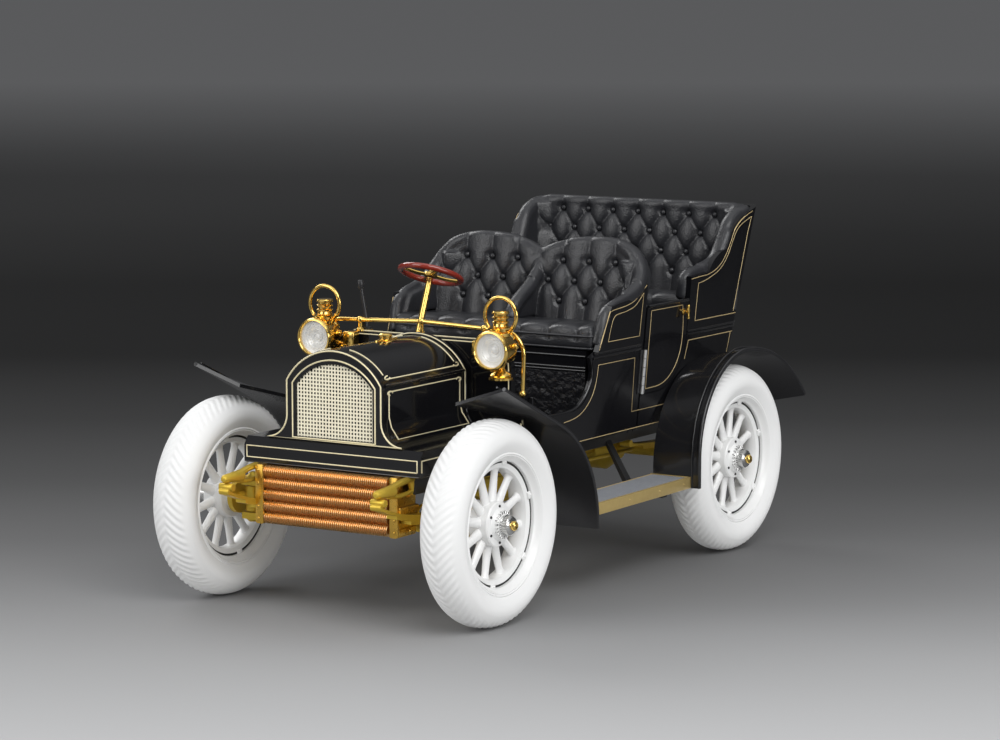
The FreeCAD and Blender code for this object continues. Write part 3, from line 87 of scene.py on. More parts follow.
# What is seen of the room, straight or mirrored, is dark at eye level and pale overhead.
room = world.node_tree.nodes.new("ShaderNodeBackground")
facing = world.node_tree.nodes.new("ShaderNodeTexCoord")
upward = world.node_tree.nodes.new("ShaderNodeSeparateXYZ")
world.node_tree.links.new(facing.outputs["Generated"], upward.inputs[0])
shade = world.node_tree.nodes.new("ShaderNodeValToRGB")
levels = ((0.0, 0.105), (0.07, 0.07), (0.45, 0.08), (0.80, 0.50), (1.0, 1.0))
while len(shade.color_ramp.elements) < len(levels):
    shade.color_ramp.elements.new(0.5)
for stop, (height, grey) in zip(shade.color_ramp.elements, levels):
    stop.position = height
    stop.color = (grey, grey * 1.005, grey * 1.02, 1)
world.node_tree.links.new(upward.outputs["Z"], shade.inputs[0])
world.node_tree.links.new(shade.outputs[0], room.inputs["Color"])
rays = world.node_tree.nodes.new("ShaderNodeLightPath")
seen = rays.outputs["Is Camera Ray"]
for other in ("Is Glossy Ray", "Is Transmission Ray"):
    either = world.node_tree.nodes.new("ShaderNodeMath")
    either.operation = "MAXIMUM"
    world.node_tree.links.new(seen, either.inputs[0])
    world.node_tree.links.new(rays.outputs[other], either.inputs[1])
    seen = either.outputs[0]
blend = world.node_tree.nodes.new("ShaderNodeMixShader")
world.node_tree.links.new(seen, blend.inputs[0])
world.node_tree.links.new(sky.outputs[0], blend.inputs[1])
world.node_tree.links.new(room.outputs[0], blend.inputs[2])
world.node_tree.links.new(blend.outputs[0], world.node_tree.nodes["World Output"].inputs["Surface"])


class Wire:
    """One output of a shader node. Sums and products of wires add the nodes that work them out."""

    def __init__(self, paint, socket):
        self.paint = paint
        self.socket = socket

    def sum_of(self, operation, first, second):
        return self.paint.node("ShaderNodeMath", {"operation": operation}, {0: first, 1: second})

    def __add__(self, other):
        return self.sum_of("ADD", self, other)

    __radd__ = __add__

    def __mul__(self, other):
        return self.sum_of("MULTIPLY", self, other)

    __rmul__ = __mul__


class Paint:
    """One finish: its shader, and the nodes that vary it over the surface."""

    def __init__(self, name, colour, roughness, metallic=0.0, fixed=None):
        self.material = bpy.data.materials.new(name)
        self.material.use_nodes = True
        self.tree = self.material.node_tree
        self.shader = self.tree.nodes["Principled BSDF"]
        self.colour = (*colour, 1)
        settings = {"Base Color": self.colour, "Roughness": roughness, "Metallic": metallic, **(fixed or {})}
        for socket, value in settings.items():
            self.shader.inputs[socket].default_value = value
        self.place = self.node("ShaderNodeTexCoord", {}, {}, "Object")

    def node(self, kind, settings, values, out=0):
        """Adds a node. Its settings are set first, then the values or wires of its sockets."""
        new = self.tree.nodes.new(kind)
        for key, value in settings.items():
            setattr(new, key, value)
        for key, value in values.items():
            if isinstance(value, Wire):
                self.tree.links.new(value.socket, new.inputs[key])
            else:
                new.inputs[key].default_value = value
        return Wire(self, new.outputs[out])

    def noise(self, per_mm, detail=2.0):
        """Cloudy variation from 0 to 1, with so many lumps to a millimetre."""
        values = {"Vector": self.place, "Scale": per_mm * 1000, "Detail": detail}
        return self.node("ShaderNodeTexNoise", {}, values)

    def feed(self, socket, wire):
        """Lets a wire drive one socket of the shader."""
        self.tree.links.new(wire.socket, self.shader.inputs[socket])

    def tint(self, wire, other):
        """Colour that runs from the finish's own towards another as the wire goes from 0 to 1."""
        values = {0: wire, 6: self.colour, 7: (*other, 1)}
        self.feed("Base Color", self.node("ShaderNodeMix", {"data_type": "RGBA"}, values, 2))

    def relief(self, height, depth_mm):
        """Surface relief from a height wire, so many millimetres deep."""
        values = {"Strength": 1.0, "Distance": depth_mm * MM, "Height": height}
        self.feed("Normal", self.node("ShaderNodeBump", {}, values))


floor_grey = Paint("studio_grey", (0.50, 0.50, 0.50), 0.6, 0.0, {"Specular IOR Level": 0.0})
floor_grey.feed("Roughness", 0.55 + 0.1 * floor_grey.noise(0.02))
# floor colour with painted light, bright just before the car and dark behind it: share of 4 m behind the
# camera's foot, grey
away = floor_grey.node("ShaderNodeVectorMath", {"operation": "DOT_PRODUCT"},
                       {0: floor_grey.place, 1: (math.cos(yaw), math.sin(yaw), 0)}, "Value")
reach = (away + math.hypot(AXLE + ahead, aside) * MM) * 0.25
painted_light_fall = floor_grey.node("ShaderNodeValToRGB", {}, {0: reach})
painted_light_ramp = [node for node in floor_grey.tree.nodes if node.type == "VALTORGB"][0].color_ramp
stops = ((0.0, 0.09), (0.11, 0.13), (0.150, 0.36), (0.166, 0.45), (0.187, 0.34), (0.205, 0.230),
         (0.226, 0.140), (0.252, 0.080), (0.285, 0.045), (0.33, 0.021), (0.40, 0.020), (0.47, 0.030),
         (0.59, 0.055), (0.80, 0.14), (1.0, 0.20))
while len(painted_light_ramp.elements) < len(stops):
    painted_light_ramp.elements.new(0.5)
for stop, (share, grey) in zip(painted_light_ramp.elements, stops):
    stop.position = share
    stop.color = (grey, grey, grey * 1.005, 1)
# past a few metres out it is one even grey all round
distance = floor_grey.node("ShaderNodeVectorMath", {"operation": "LENGTH"}, {0: floor_grey.place}, "Value")
far_out = floor_grey.node("ShaderNodeMapRange", {}, {0: distance, 1: 2.5, 2: 6.0})
far_grey = (0.20, 0.20, 0.201, 1)
painted_light_fall = floor_grey.node("ShaderNodeMix", {"data_type": "RGBA"}, {0: far_out, 6: painted_light_fall, 7: far_grey}, 2)
# the painted light fall shows to the eye and in mirrors; the light that the floor throws back stays even
shown = [floor_grey.node("ShaderNodeLightPath", {}, {}, "Is " + ray + " Ray")
         for ray in ("Camera", "Glossy", "Transmission")]
floor_grey.feed("Base Color", floor_grey.node("ShaderNodeMix", {"data_type": "RGBA"}, {
    0: shown[0] + shown[1] + shown[2], 6: floor_grey.colour, 7: painted_light_fall}, 2))
studio_floor.data.materials.append(floor_grey.material)


# Frame: two pressed rails and cross members in semi-gloss black, with the gold dumb irons that carry
# the front springs pinned to their ends. The first pieces to be shaped, so the ways to turn, block, bend,
# join, copy and finish a piece come with them.
def clear():
    """Lets go of whatever is selected."""
    bpy.ops.object.select_all(action="DESELECT")


def turned(rows, at=(0, 0, 0), along="Y", steps=48):
    """A piece turned on a lathe, from rows of (radius, place along the axis)."""
    clear()
    bpy.ops.mesh.primitive_plane_add(size=MM, location=(0, 0, 0))
    piece = bpy.context.object
    bpy.ops.object.mode_set(mode="EDIT")
    bpy.ops.mesh.select_all(action="SELECT")
    bpy.ops.mesh.merge(type="CENTER")
    bpy.ops.transform.translate(value=(rows[0][0] * MM, 0, rows[0][1] * MM))
    for (radius, place), (next_radius, next_place) in zip(rows, rows[1:]):
        step = ((next_radius - radius) * MM, 0, (next_place - place) * MM)
        bpy.ops.mesh.extrude_region_move(TRANSFORM_OT_translate={"value": step})
    bpy.ops.mesh.select_all(action="SELECT")
    bpy.ops.mesh.spin(steps=steps, angle=math.tau, center=(0, 0, 0), axis=(0, 0, 1))
    bpy.ops.mesh.select_all(action="SELECT")
    bpy.ops.mesh.remove_doubles(threshold=0.002 * MM)
    bpy.ops.mesh.normals_make_consistent(inside=False)
    bpy.ops.object.mode_set(mode="OBJECT")
    turns = {"X": Matrix.Rotation(math.pi / 2, 4, "Y"), "Y": Matrix.Rotation(-math.pi / 2, 4, "X"),
             "Z": Matrix()}
    piece.data.transform(Matrix.Translation(Vector(at) * MM) @ turns[along])
    return piece


def block(low, high, bevel=0.15, segments=2):
    """A block with eased edges, from its lowest to its highest corner."""
    clear()
    low, high = Vector(low) * MM, Vector(high) * MM
    bpy.ops.mesh.primitive_cube_add(size=1, location=(low + high) / 2)
    bpy.context.object.scale = high - low
    bpy.ops.object.transform_apply(location=True, rotation=True, scale=True)
    bpy.ops.object.mode_set(mode="EDIT")
    bpy.ops.mesh.select_all(action="SELECT")
    bpy.ops.mesh.bevel(offset=bevel * MM, segments=segments, affect="EDGES")
    bpy.ops.object.mode_set(mode="OBJECT")
    return bpy.context.object


def dome(at, radius, squash=1.0, along="Z", steps=16):
    """A round-headed rivet or button, a part of a ball standing on a point."""
    turns = [math.radians(a) for a in range(0, 90, 15)]
    rows = [(radius * math.cos(t), radius * squash * math.sin(t)) for t in turns]
    return turned([(0, 0)] + rows + [(0, radius * squash)], at, along, steps)


def tube(lines, radius, closed=False, sides=3):
    """Round wire along one or more lines of points."""
    clear()
    bpy.ops.curve.primitive_bezier_curve_add(location=(0, 0, 0))
    piece = bpy.context.object
    curve = piece.data
    curve.splines.clear()
    for line in lines:
        spline = curve.splines.new("POLY")
        spline.points.add(len(line) - 1)
        for knot, point in zip(spline.points, line):
            knot.co = (point[0] * MM, point[1] * MM, point[2] * MM, 1)
        spline.use_cyclic_u = closed
    curve.dimensions = "3D"
    curve.bevel_depth = radius * MM
    curve.bevel_resolution = sides
    curve.use_fill_caps = True
    bpy.ops.object.convert(target="MESH")
    return bpy.context.object


def eased(points, radius, closed=False, steps=6):
    """The same line with its corners rounded."""
    points = [Vector(p) for p in points]
    count = len(points)
    line = []
    for index, corner in enumerate(points):
        if not closed and index in (0, count - 1):
            line.append(corner)
            continue
        before, after = points[index - 1], points[(index + 1) % count]
        back = min(radius, (before - corner).length * 0.49)
        ahead = min(radius, (after - corner).length * 0.49)
        start = corner + (before - corner).normalized() * back
        end = corner + (after - corner).normalized() * ahead
        for step in range(steps + 1):
            t = step / steps
            line.append(start * (1 - t) ** 2 + corner * 2 * t * (1 - t) + end * t ** 2)
    return line


def joined(pieces):
    """One piece made of several."""
    clear()
    for piece in pieces:
        piece.select_set(True)
    bpy.context.view_layer.objects.active = pieces[0]
    bpy.ops.object.join()
    return pieces[0]


def copied(piece, matrix):
    """Another of the same piece, with its own mesh, carried to its place."""
    twin = piece.copy()
    twin.data = piece.data.copy()
    twin.data.transform(matrix)
    if matrix.determinant() < 0:
        twin.data.flip_normals()
    bpy.context.scene.collection.objects.link(twin)
    return twin


MIRROR = Matrix.Scale(-1, 4, (0, 1, 0))


def finish(piece, name, paint, body, smooth=35):
    """Names a piece, eases its shading, paints it and hangs it on its body."""
    clear()
    piece.select_set(True)
    bpy.context.view_layer.objects.active = piece
    bpy.ops.object.transform_apply(location=True, rotation=True, scale=True)
    bpy.ops.object.shade_smooth_by_angle(angle=math.radians(smooth))
    piece.name = name
    piece.data.materials.clear()
    piece.data.materials.append(paint.material)
    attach(piece, body)
    return piece


def repaint(paint, *nodes):
    """Gives CAD pieces that are right as they are their finish."""
    for name in nodes:
        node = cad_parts[name]
        node.data.materials.clear()
        node.data.materials.append(paint.material)


frame_black = Paint("frame_black", (0.014, 0.014, 0.015), 0.34)
frame_black.feed("Roughness", 0.28 + 0.14 * frame_black.noise(0.6, 4))
frame_black.relief(frame_black.noise(2.2, 3), 0.015)

cast_gold = Paint("cast_gold", (0.74, 0.52, 0.065), 0.36, 0.7)
cast_gold.tint(cast_gold.noise(0.5, 4), (0.62, 0.42, 0.05))
cast_gold.feed("Roughness", 0.27 + 0.2 * cast_gold.noise(1.3, 4))
cast_gold.relief(cast_gold.noise(3.0, 3), 0.02)
repaint(cast_gold, "front_springs", "rear_springs", "front_axle", "rear_axle", "knuckle_left",
        "knuckle_right", "tie_rod")

rail_low, rail_top, rail_out, cross_deep, last_cross = 32.3, 37.3, 23.8, 3.0, 144.0
screw_hole = 1.25
left_rail = block((AXLE - 149.0, 21.4, rail_low), (AXLE + 8.2, rail_out, rail_top), 0.4, 3)
rails = [left_rail, copied(left_rail, MIRROR)]
for behind in (24.0, 98.0, last_cross):
    rails.append(block((AXLE - behind - 2.5, -22.0, rail_top - cross_deep),
                       (AXLE - behind + 2.5, 22.0, rail_top), 0.35, 3))
    for way in (1, -1):
        rails += [dome((AXLE - behind + x, (rail_out - 0.05) * way, 34.8), 0.45, 0.6 * way, "Y", 12)
                  for x in (-1.3, 1.3)]
rails.append(turned([(screw_hole, 28.35), (2.6, 28.35), (3.0, 28.7), (3.0, 34.6), (screw_hole, 34.6),
                     (screw_hole, 28.35)], (AXLE - last_cross, 0, 0), "Z", 32))
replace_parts(finish(joined(rails), "frame_rails", frame_black, "chassis"), "frame")

spring_y = 22.6
horn = tube([eased([(AXLE + 6.5, spring_y, 36.2), (AXLE + 12.0, spring_y, 36.1),
                    (AXLE + 16.6, spring_y, 35.2), (AXLE + 19.6, spring_y, 34.6)], 4)], 0.8)
for vertex in horn.data.vertices:
    vertex.co.y = spring_y * MM + (vertex.co.y - spring_y * MM) * 1.35
strut = tube([eased([(AXLE + 8.0, spring_y, 33.2), (AXLE + 13.0, spring_y, 32.6),
                     (AXLE + 18.5, spring_y, 33.2)], 4)], 0.55)
strut_end = tube([[(AXLE + 7.4, spring_y, 32.6), (AXLE + 8.6, spring_y, 36.4)]], 0.9)
horn_end = turned([(0, 0), (1.3, 0), (1.55, 0.4), (1.35, 3.0), (1.05, 7.0), (0.7, 7.6), (0, 7.8)],
                  (AXLE + 16.4, spring_y, 34.4), "X", 24)
shackle = turned([(0, -2.0), (0.9, -2.0), (1.0, -1.7), (1.0, 1.7), (0.9, 2.0), (0, 2.0)],
                 (AXLE + 22.4, spring_y, 32.3), "Y", 24)
horn = joined([horn, horn_end, shackle, strut, strut_end])
finish(horn, "dumb_iron_left", cast_gold, "chassis")
finish(copied(horn, MIRROR), "dumb_iron_right", cast_gold, "chassis")

# Front axle ends: the kingpins stand in the axle's forked ends. Each has a cap nut above and one below,
# in the same gold as the axle.
low, top = (corner.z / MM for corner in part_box("front_axle"))
kingpin_y = 31
for way, name in ((1, "left"), (-1, "right")):
    kingpin = (AXLE, kingpin_y * way, 0)
    cap = turned([(0, top - 0.4), (1.9, top - 0.4), (1.9, top + 0.5), (1.3, top + 0.9), (0.8, top + 1.5),
                  (0, top + 1.7)], kingpin, "Z", 24)
    foot = turned([(0, low - 1.0), (1.2, low - 0.8), (1.7, low - 0.3), (1.7, low + 0.4), (0, low + 0.4)],
                  kingpin, "Z", 24)
    finish(joined([cap, foot]), "kingpin_caps_" + name, cast_gold, "chassis")

# Engine and gearbox case: one gold casting slung between the rails on two arms, with a bolted flange, side
# ribs, round covers, a sump and the boss for the front base screw.
case = [block((AXLE - 83.4, -15.2, 22.2), (AXLE - 48.6, 15.2, 36.8), 2.2, 4),
        block((AXLE - 84.0, -16.5, 29.3), (AXLE - 48.0, 16.5, 30.5), 0.35, 3),
        block((AXLE - 62.6, -11.8, 20.6), (AXLE - 51.5, 11.8, 24.0), 1.2, 3),
        block((AXLE - 80.8, -11.8, 20.6), (AXLE - 69.6, 11.8, 24.0), 1.2, 3),
        turned([(screw_hole, 0), (2.7, 0), (2.9, 2.4), (2.9, 3.4), (0, 3.4), (0, 3.0), (screw_hole, 3.0),
                (screw_hole, 0)], (AXLE - 66.0, 0, 20.5), "Z", 32),
        turned([(0, -1.6), (4.6, -1.6), (4.8, -1.2), (4.8, -0.6), (4.2, -0.2), (0, -0.1)],
               (AXLE - 83.0, 0, 28.6), "X", 36)]
for back in (53.5, 77.5):
    case.append(block((AXLE - back - 1.5, -21.4, 33.3), (AXLE - back + 1.5, 21.4, 36.3), 0.6, 3))
for y in (-7.6, 7.6):
    case.append(turned([(0, 0), (4.4, 0), (4.8, -0.4), (4.8, -1.6), (5.2, -1.9), (5.2, -3.0), (0, -3.0)],
                       (AXLE - 48.0, y, 26.6), "X", 36))
rib_pitch, bolt_pitch = 1.9, 4.63
flank = [block((AXLE - 81.0 + rib_pitch * k, 14.0, 23.6), (AXLE - 80.2 + rib_pitch * k, 16.1, 29.5), 0.25)
         for k in range(9)]
flank += [dome((AXLE - 82.2 + bolt_pitch * k, 15.8, 30.4), 0.55, 0.9, "Z", 12) for k in range(8)]
flank.append(turned([(0, 14.6), (2.9, 14.6), (2.9, 15.7), (2.5, 16.0), (1.2, 16.0), (1.0, 16.35), (0, 16.4)],
                    (AXLE - 56.6, 0, 26.2), "Y", 36))
case += flank + [copied(piece, MIRROR) for piece in flank]
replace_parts(finish(joined(case), "engine_case", cast_gold, "chassis"), "engine")

# Tyres: fat white rubber, moulded as one ring with a bead on each side that sits in the rim. A shallow
# herringbone tread runs round the crown.
tyre_white = Paint("tyre_white", (0.80, 0.80, 0.79), 0.55, 0.0, {"Specular IOR Level": 0.35})
tyre_white.tint(tyre_white.noise(0.12, 3) * 0.5, (0.74, 0.74, 0.74))
tyre_white.feed("Roughness", 0.48 + 0.16 * tyre_white.noise(1.4, 3))
tyre_white.relief(tyre_white.noise(4.0, 2), 0.012)

bead = [(16.7, 3.6), (16.9, 4.5), (17.35, 4.85), (17.7, 4.7), (18.1, 4.95)]
wall_middle, wall_rise, wall_half = 20.9, 4.55, 5.9
wall = []
for turn in range(-108, 109, 6):
    t = math.radians(turn)
    wall.append((wall_middle + wall_rise * math.cos(t), wall_half * math.sin(t)))
tyre_rows = [(r, -y) for r, y in bead] + wall + bead[::-1] + [(bead[0][0], -bead[0][1])]
# the tread's blocks round the tyre, where the four columns of each stand, and how far they reach
pitches, share = 72, (0.0, 0.16, 0.5, 0.66)
tread_inner, tread_height, tread_groove, tread_edge, tread_slant = 22.4, 0.18, 0.35, 4.9, 25.5
tyre = turned(tyre_rows, steps=pitches * 4)
for vertex in tyre.data.vertices:
    x, y, z = (c / MM for c in vertex.co)
    radius = math.hypot(x, z)
    if radius < tread_inner:
        continue
    column = round(math.atan2(z, x) / math.tau * pitches * 4) % (pitches * 4)
    pitch, part = divmod(column, 4)
    across = abs(y)
    if tread_groove < across < tread_edge and part in (1, 2):
        radius += tread_height * min(1.0, (tread_edge - across) / 0.9)
    angle = (pitch + share[part]) / pitches * math.tau + min(across, tread_edge) / tread_slant
    vertex.co.x, vertex.co.z = radius * math.cos(angle) * MM, radius * math.sin(angle) * MM

# Artillery wheels: twelve round spokes between hub and felloe, enamelled white, with a black lined
# groove where clamps hold the rim. A toothed locking ring and a bright cap close the hub.
wheel_white = Paint("wheel_white", (0.80, 0.80, 0.79), 0.3, 0.0,
                    {"Coat Weight": 0.25, "Coat Roughness": 0.12})
wheel_white.feed("Roughness", 0.24 + 0.16 * wheel_white.noise(0.9, 4))
wheel_white.relief(wheel_white.noise(2.6, 3), 0.012)
line_black = Paint("line_black", (0.012, 0.012, 0.012), 0.4)
line_black.feed("Roughness", 0.34 + 0.14 * line_black.noise(2.0))
bright_silver = Paint("bright_silver", (0.78, 0.78, 0.77), 0.18, 1.0)
bright_silver.feed("Roughness", 0.18 + 0.06 * bright_silver.noise(1.2, 2))
gold_plate = Paint("gold_plate", (0.95, 0.66, 0.19), 0.16, 1.0)
gold_plate.tint(gold_plate.noise(0.35, 3) * 0.6, (0.90, 0.57, 0.14))
gold_plate.feed("Roughness", 0.12 + 0.1 * gold_plate.noise(1.0, 3))

felloe = turned([(13.5, -1.2), (13.5, 1.2), (13.8, 2.0), (14.9, 2.45), (15.05, 2.3), (15.05, -2.3),
                 (14.9, -2.45), (13.8, -2.0), (13.5, -1.2)], steps=96)
rim = turned([(15.5, -2.5), (15.5, 2.5), (15.6, 3.2), (16.1, 3.5), (16.45, 4.1), (16.9, 4.7), (17.25, 4.55),
              (17.1, 3.9), (17.1, -3.9), (17.25, -4.55), (16.9, -4.7), (16.45, -4.1), (16.1, -3.5),
              (15.6, -3.2), (15.5, -2.5)], steps=96)
groove = turned([(15.0, 2.42), (15.55, 2.42), (15.55, -2.42), (15.0, -2.42), (15.0, 2.42)], steps=96)
hub = turned([(1.75, -3.45), (3.3, -3.45), (3.5, -3.3), (3.5, -2.9), (5.3, -2.8), (5.6, -2.5), (5.6, 2.4),
              (5.35, 2.75), (4.0, 2.85), (3.6, 3.2), (3.3, 4.0), (2.4, 4.2), (2.4, 4.4), (2.0, 4.9),
              (0, 4.9), (0, 4.65), (1.75, 4.65), (1.75, -3.45)], steps=64)
spoke = turned([(0, 4.9), (1.45, 4.9), (1.28, 6.6), (1.12, 9.5), (1.04, 12.4), (1.2, 13.2), (1.55, 13.6),
                (0, 13.6)], along="Z", steps=18)
spoke.data.transform(Matrix.Diagonal((1.0, 0.78, 1, 1)))
clamp = joined([block((-0.95, 1.9, 14.5), (0.95, 2.85, 16.2), 0.25, 3),
                dome((0, 2.8, 15.3), 0.42, 0.9, "Y", 12),
                block((-0.95, -2.85, 14.5), (0.95, -1.9, 16.2), 0.25, 3)])
tooth = block((-0.24, 3.1, 2.75), (0.24, 4.25, 3.45), 0.06, 1)


def in_a_ring(piece, count, start=0.0):
    """So many of the same piece, evenly round the wheel's axis."""
    return [copied(piece, Matrix.Rotation(start + math.tau / count * k, 4, "Y")) for k in range(count)]


first_spoke = math.radians(-10)
spokes = in_a_ring(spoke, 12, first_spoke)
clamps = in_a_ring(clamp, 6, first_spoke)
teeth = in_a_ring(tooth, 22)
valve = turned([(0, 10.9), (0.3, 10.9), (0.32, 12.2), (0.5, 12.3), (0.5, 13.5), (0, 13.5)], along="Z",
               steps=12)
valve.data.transform(Matrix.Rotation(math.radians(125), 4, "Y") @ Matrix.Translation((0, -1.2 * MM, 0)))
wheel = joined([felloe, rim, hub, valve, *spokes, *clamps])
bolt = turned([(0, 2.6), (0.34, 2.6), (0.34, 3.0), (0.26, 3.1), (0, 3.1)], (0, 0, 4.5), "Y", 12)
groove = joined([groove, *in_a_ring(bolt, 6)])
barrel = turned([(0, 4.3), (2.5, 4.3), (2.55, 4.9), (2.3, 5.0), (2.3, 5.4), (2.45, 5.5), (2.45, 6.2),
                 (2.1, 6.6), (1.7, 6.75), (0, 6.75)], steps=32)
silver_cap = joined([barrel, *teeth])
gold_cap = turned([(0, 6.5), (1.2, 6.5), (1.2, 7.3), (1.0, 7.6), (0.7, 7.75), (0.5, 7.65), (0, 7.65)],
                  steps=24)
for corner in ("front_left", "front_right", "rear_left", "rear_right"):
    low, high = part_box("tyre_" + corner)
    centre = (low + high) / 2
    outward = Matrix() if centre.y > 0 else Matrix.Rotation(math.pi, 4, "Z")
    place = Matrix.Translation(centre) @ outward
    body = "road_wheel_" + corner
    rubber = finish(copied(tyre, place), "tyre_tread_" + corner, tyre_white, body, 40)
    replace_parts(rubber, "tyre_" + corner)
    enamel = finish(copied(wheel, place), "spoked_wheel_" + corner, wheel_white, body)
    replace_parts(enamel, "wheel_" + corner)
    finish(copied(groove, place), "rim_line_" + corner, line_black, body)
    finish(copied(silver_cap, place), "hub_ring_" + corner, bright_silver, body)
    finish(copied(gold_cap, place), "hub_cap_" + corner, gold_plate, body)
for spare in (spoke, clamp, tooth, bolt, tyre, wheel, groove, silver_cap, gold_cap):
    bpy.data.objects.remove(spare)

# Radiator: five rows of finned copper tube between two gold side plates, with riveted front flanges.
# It hangs under the apron on the frame rails.
fin_copper = Paint("fin_copper", (0.88, 0.59, 0.29), 0.28, 1.0)
fin_copper.tint(fin_copper.noise(0.8, 3), (0.82, 0.53, 0.25))
fin_copper.feed("Roughness", 0.22 + 0.12 * fin_copper.noise(1.6, 3))
row_count, fin_pitch, fin_reach, tube_radius, fin_radius = 5, 0.6, 18.85, 1.22, 1.62
core_low, core_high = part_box("radiator")
row_height = (core_high.z - core_low.z) / row_count / MM
ribs = [(0, -fin_reach)]
for number in range(int(fin_reach * 2 / fin_pitch)):
    start = -fin_reach + number * fin_pitch
    ribs += [(tube_radius, start), (fin_radius, start + 0.12), (fin_radius, start + 0.27),
             (tube_radius, start + 0.39)]
ribs.append((0, fin_reach))
finned_tube = turned(ribs, steps=28)
fins = []
for row in range(row_count):
    z = core_low.z / MM + row_height * (row + 0.5)
    for x in (10.75, 5.3):
        fins.append(copied(finned_tube, Matrix.Translation(Vector((AXLE + x, 0, z)) * MM)))
bpy.data.objects.remove(finned_tube)
finish(joined(fins), "radiator_fins", fin_copper, "chassis")
# the core behind the finned tubes is a much darker copper: painted shade for the valleys between and behind
# the rows
core = block((AXLE + 4.9, -19.1, core_low.z / MM + 0.4), (AXLE + 11.0, 19.1, core_high.z / MM - 0.5), 0.2)
painted_shade_copper = Paint("core_painted_shade", (0.34, 0.14, 0.06), 0.45, 0.7)
painted_shade_copper.feed("Roughness", 0.4 + 0.15 * painted_shade_copper.noise(1.5))
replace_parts(finish(core, "radiator_core", painted_shade_copper, "chassis"), "radiator")

satin_gold = Paint("satin_gold", (0.80, 0.50, 0.10), 0.25, 0.95)
satin_gold.tint(satin_gold.noise(0.5, 3), (0.66, 0.40, 0.07))
satin_gold.feed("Roughness", 0.2 + 0.18 * satin_gold.noise(1.2, 4))
satin_gold.relief(satin_gold.noise(2.5, 2), 0.01)
repaint(satin_gold, "radiator_plates")
low, high = core_low.z / MM, core_high.z / MM + 0.3
plate_y = 20.7
bits = [block((AXLE + 11.6, 18.9, low), (AXLE + 12.45, 21.3, high), 0.2),
        block((AXLE + 3.8, plate_y, low + 0.2), (AXLE + 11.8, plate_y + 0.4, low + 2.0), 0.15),
        block((AXLE + 3.8, plate_y, high - 2.0), (AXLE + 11.8, plate_y + 0.4, high - 0.3), 0.15),
        block((AXLE + 3.6, plate_y, 27.6), (AXLE + 11.8, plate_y + 1.2, 29.4), 0.25)]
for z in (23.2, 26.2, 32.1, 35.4):
    bits.append(dome((AXLE + 12.4, 20.4, z), 0.42, 0.7, "X", 12))
    bits.append(turned([(0, 21.0), (0.75, 21.0), (0.75, 21.35), (0.5, 21.4), (0.5, 21.8), (0.3, 21.95),
                        (0, 22.0)], (AXLE + 7.4, 0, z), "Y", 14))
flange = joined(bits)
finish(flange, "radiator_flange_left", satin_gold, "chassis")
finish(copied(flange, MIRROR), "radiator_flange_right", satin_gold, "chassis")

# Apron: a black box section over the radiator that carries the bonnet. It is the first of the lacquered
# body pieces, so the black lacquer, its glossier beads and the cream lines drawn on them are mixed here.
body_black = Paint("body_black", (0.004, 0.004, 0.005), 0.08, 0.0,
                   {"Specular IOR Level": 0.32, "Coat Weight": 0.12})
body_black.tint(body_black.noise(0.08, 3), (0.007, 0.007, 0.008))
body_black.feed("Roughness", 0.07 + 0.08 * body_black.noise(0.4, 4))
body_black.relief(body_black.noise(0.25, 2), 0.012)
bead_black = Paint("bead_black", (0.006, 0.006, 0.007), 0.12, 0.0,
                   {"Coat Weight": 1.0, "Coat Roughness": 0.05})
bead_black.feed("Roughness", 0.1 + 0.06 * bead_black.noise(0.8, 3))
line_cream = Paint("line_cream", (0.62, 0.48, 0.25), 0.4, 0.25)
line_cream.tint(line_cream.noise(1.5, 3), (0.54, 0.40, 0.19))
line_cream.feed("Roughness", 0.34 + 0.14 * line_cream.noise(2.0))
line_pale = Paint("line_pale", (0.84, 0.76, 0.52), 0.4, 0.1)
line_pale.tint(line_pale.noise(1.5, 3), (0.76, 0.66, 0.40))
line_pale.feed("Roughness", 0.34 + 0.14 * line_pale.noise(2.0))


def lining(name, lines, body="chassis", radius=0.2, closed=False, paint=line_cream):
    """Painted lines, set a little into the panel under them."""
    return finish(tube(lines, radius, closed, 1), name, paint, body, 60)


repaint(body_black, "apron", "bonnet", "dash", "seat_box", "rear_seat_box", "side_panel_left",
        "side_panel_right", "rear_body", "door_left", "door_right")
apron_face, line_half, line_low, line_high = AXLE + 10.0 - 0.03, 25.5, 38.1, 41.0
lines = [[(apron_face, line_half, line_low), (apron_face, -line_half, line_low),
          (apron_face, -line_half, line_high), (apron_face, line_half, line_high),
          (apron_face, line_half, line_low)]]
for y in (26.35, -26.35):
    lines.append([(AXLE + 9.3, y, line_low), (AXLE + 9.3, y, line_high), (AXLE - 20, y, line_high)])
lining("apron_lines", lines, paint=line_pale, radius=0.22)
lip_z = 36.95
lip = []
for y in (26.2, -26.2):
    line = [(AXLE - 26, y, lip_z), (AXLE + 9.9, y, lip_z), (AXLE + 9.9, 0, lip_z)]
    lip.append(tube([eased(line, 0.5)], 0.22, sides=2))
finish(joined(lip), "apron_lip", bead_black, "chassis", 60)


# Grille: a bell-shaped black plate edged in cream, round a pale mesh of square holes. It stands on the
# apron's front edge, and a black sheet behind the mesh closes it.
def bell(half, top, shoulder, foot=None, reach=0.0, steps=24):
    """Half-widths and heights of a bell shape, from its left foot over the top to its right foot."""
    rise = top - shoulder
    radius = (half ** 2 + rise ** 2) / (2 * rise)
    edge = math.asin(half / radius)
    turns = [edge * (1 - 2 * k / steps) for k in range(steps + 1)]
    line = [(radius * math.sin(t), top - radius * (1 - math.cos(t))) for t in turns]
    if foot is None:
        return line
    if reach:
        turns = [k * math.pi / 16 for k in range(9)]
        curve = [(half + reach * (1 - math.sin(t)), foot + reach * (1 - math.cos(t))) for t in turns]
    else:
        curve = [(half, foot)]
    return curve + line + [(-y, z) for y, z in curve[::-1]]


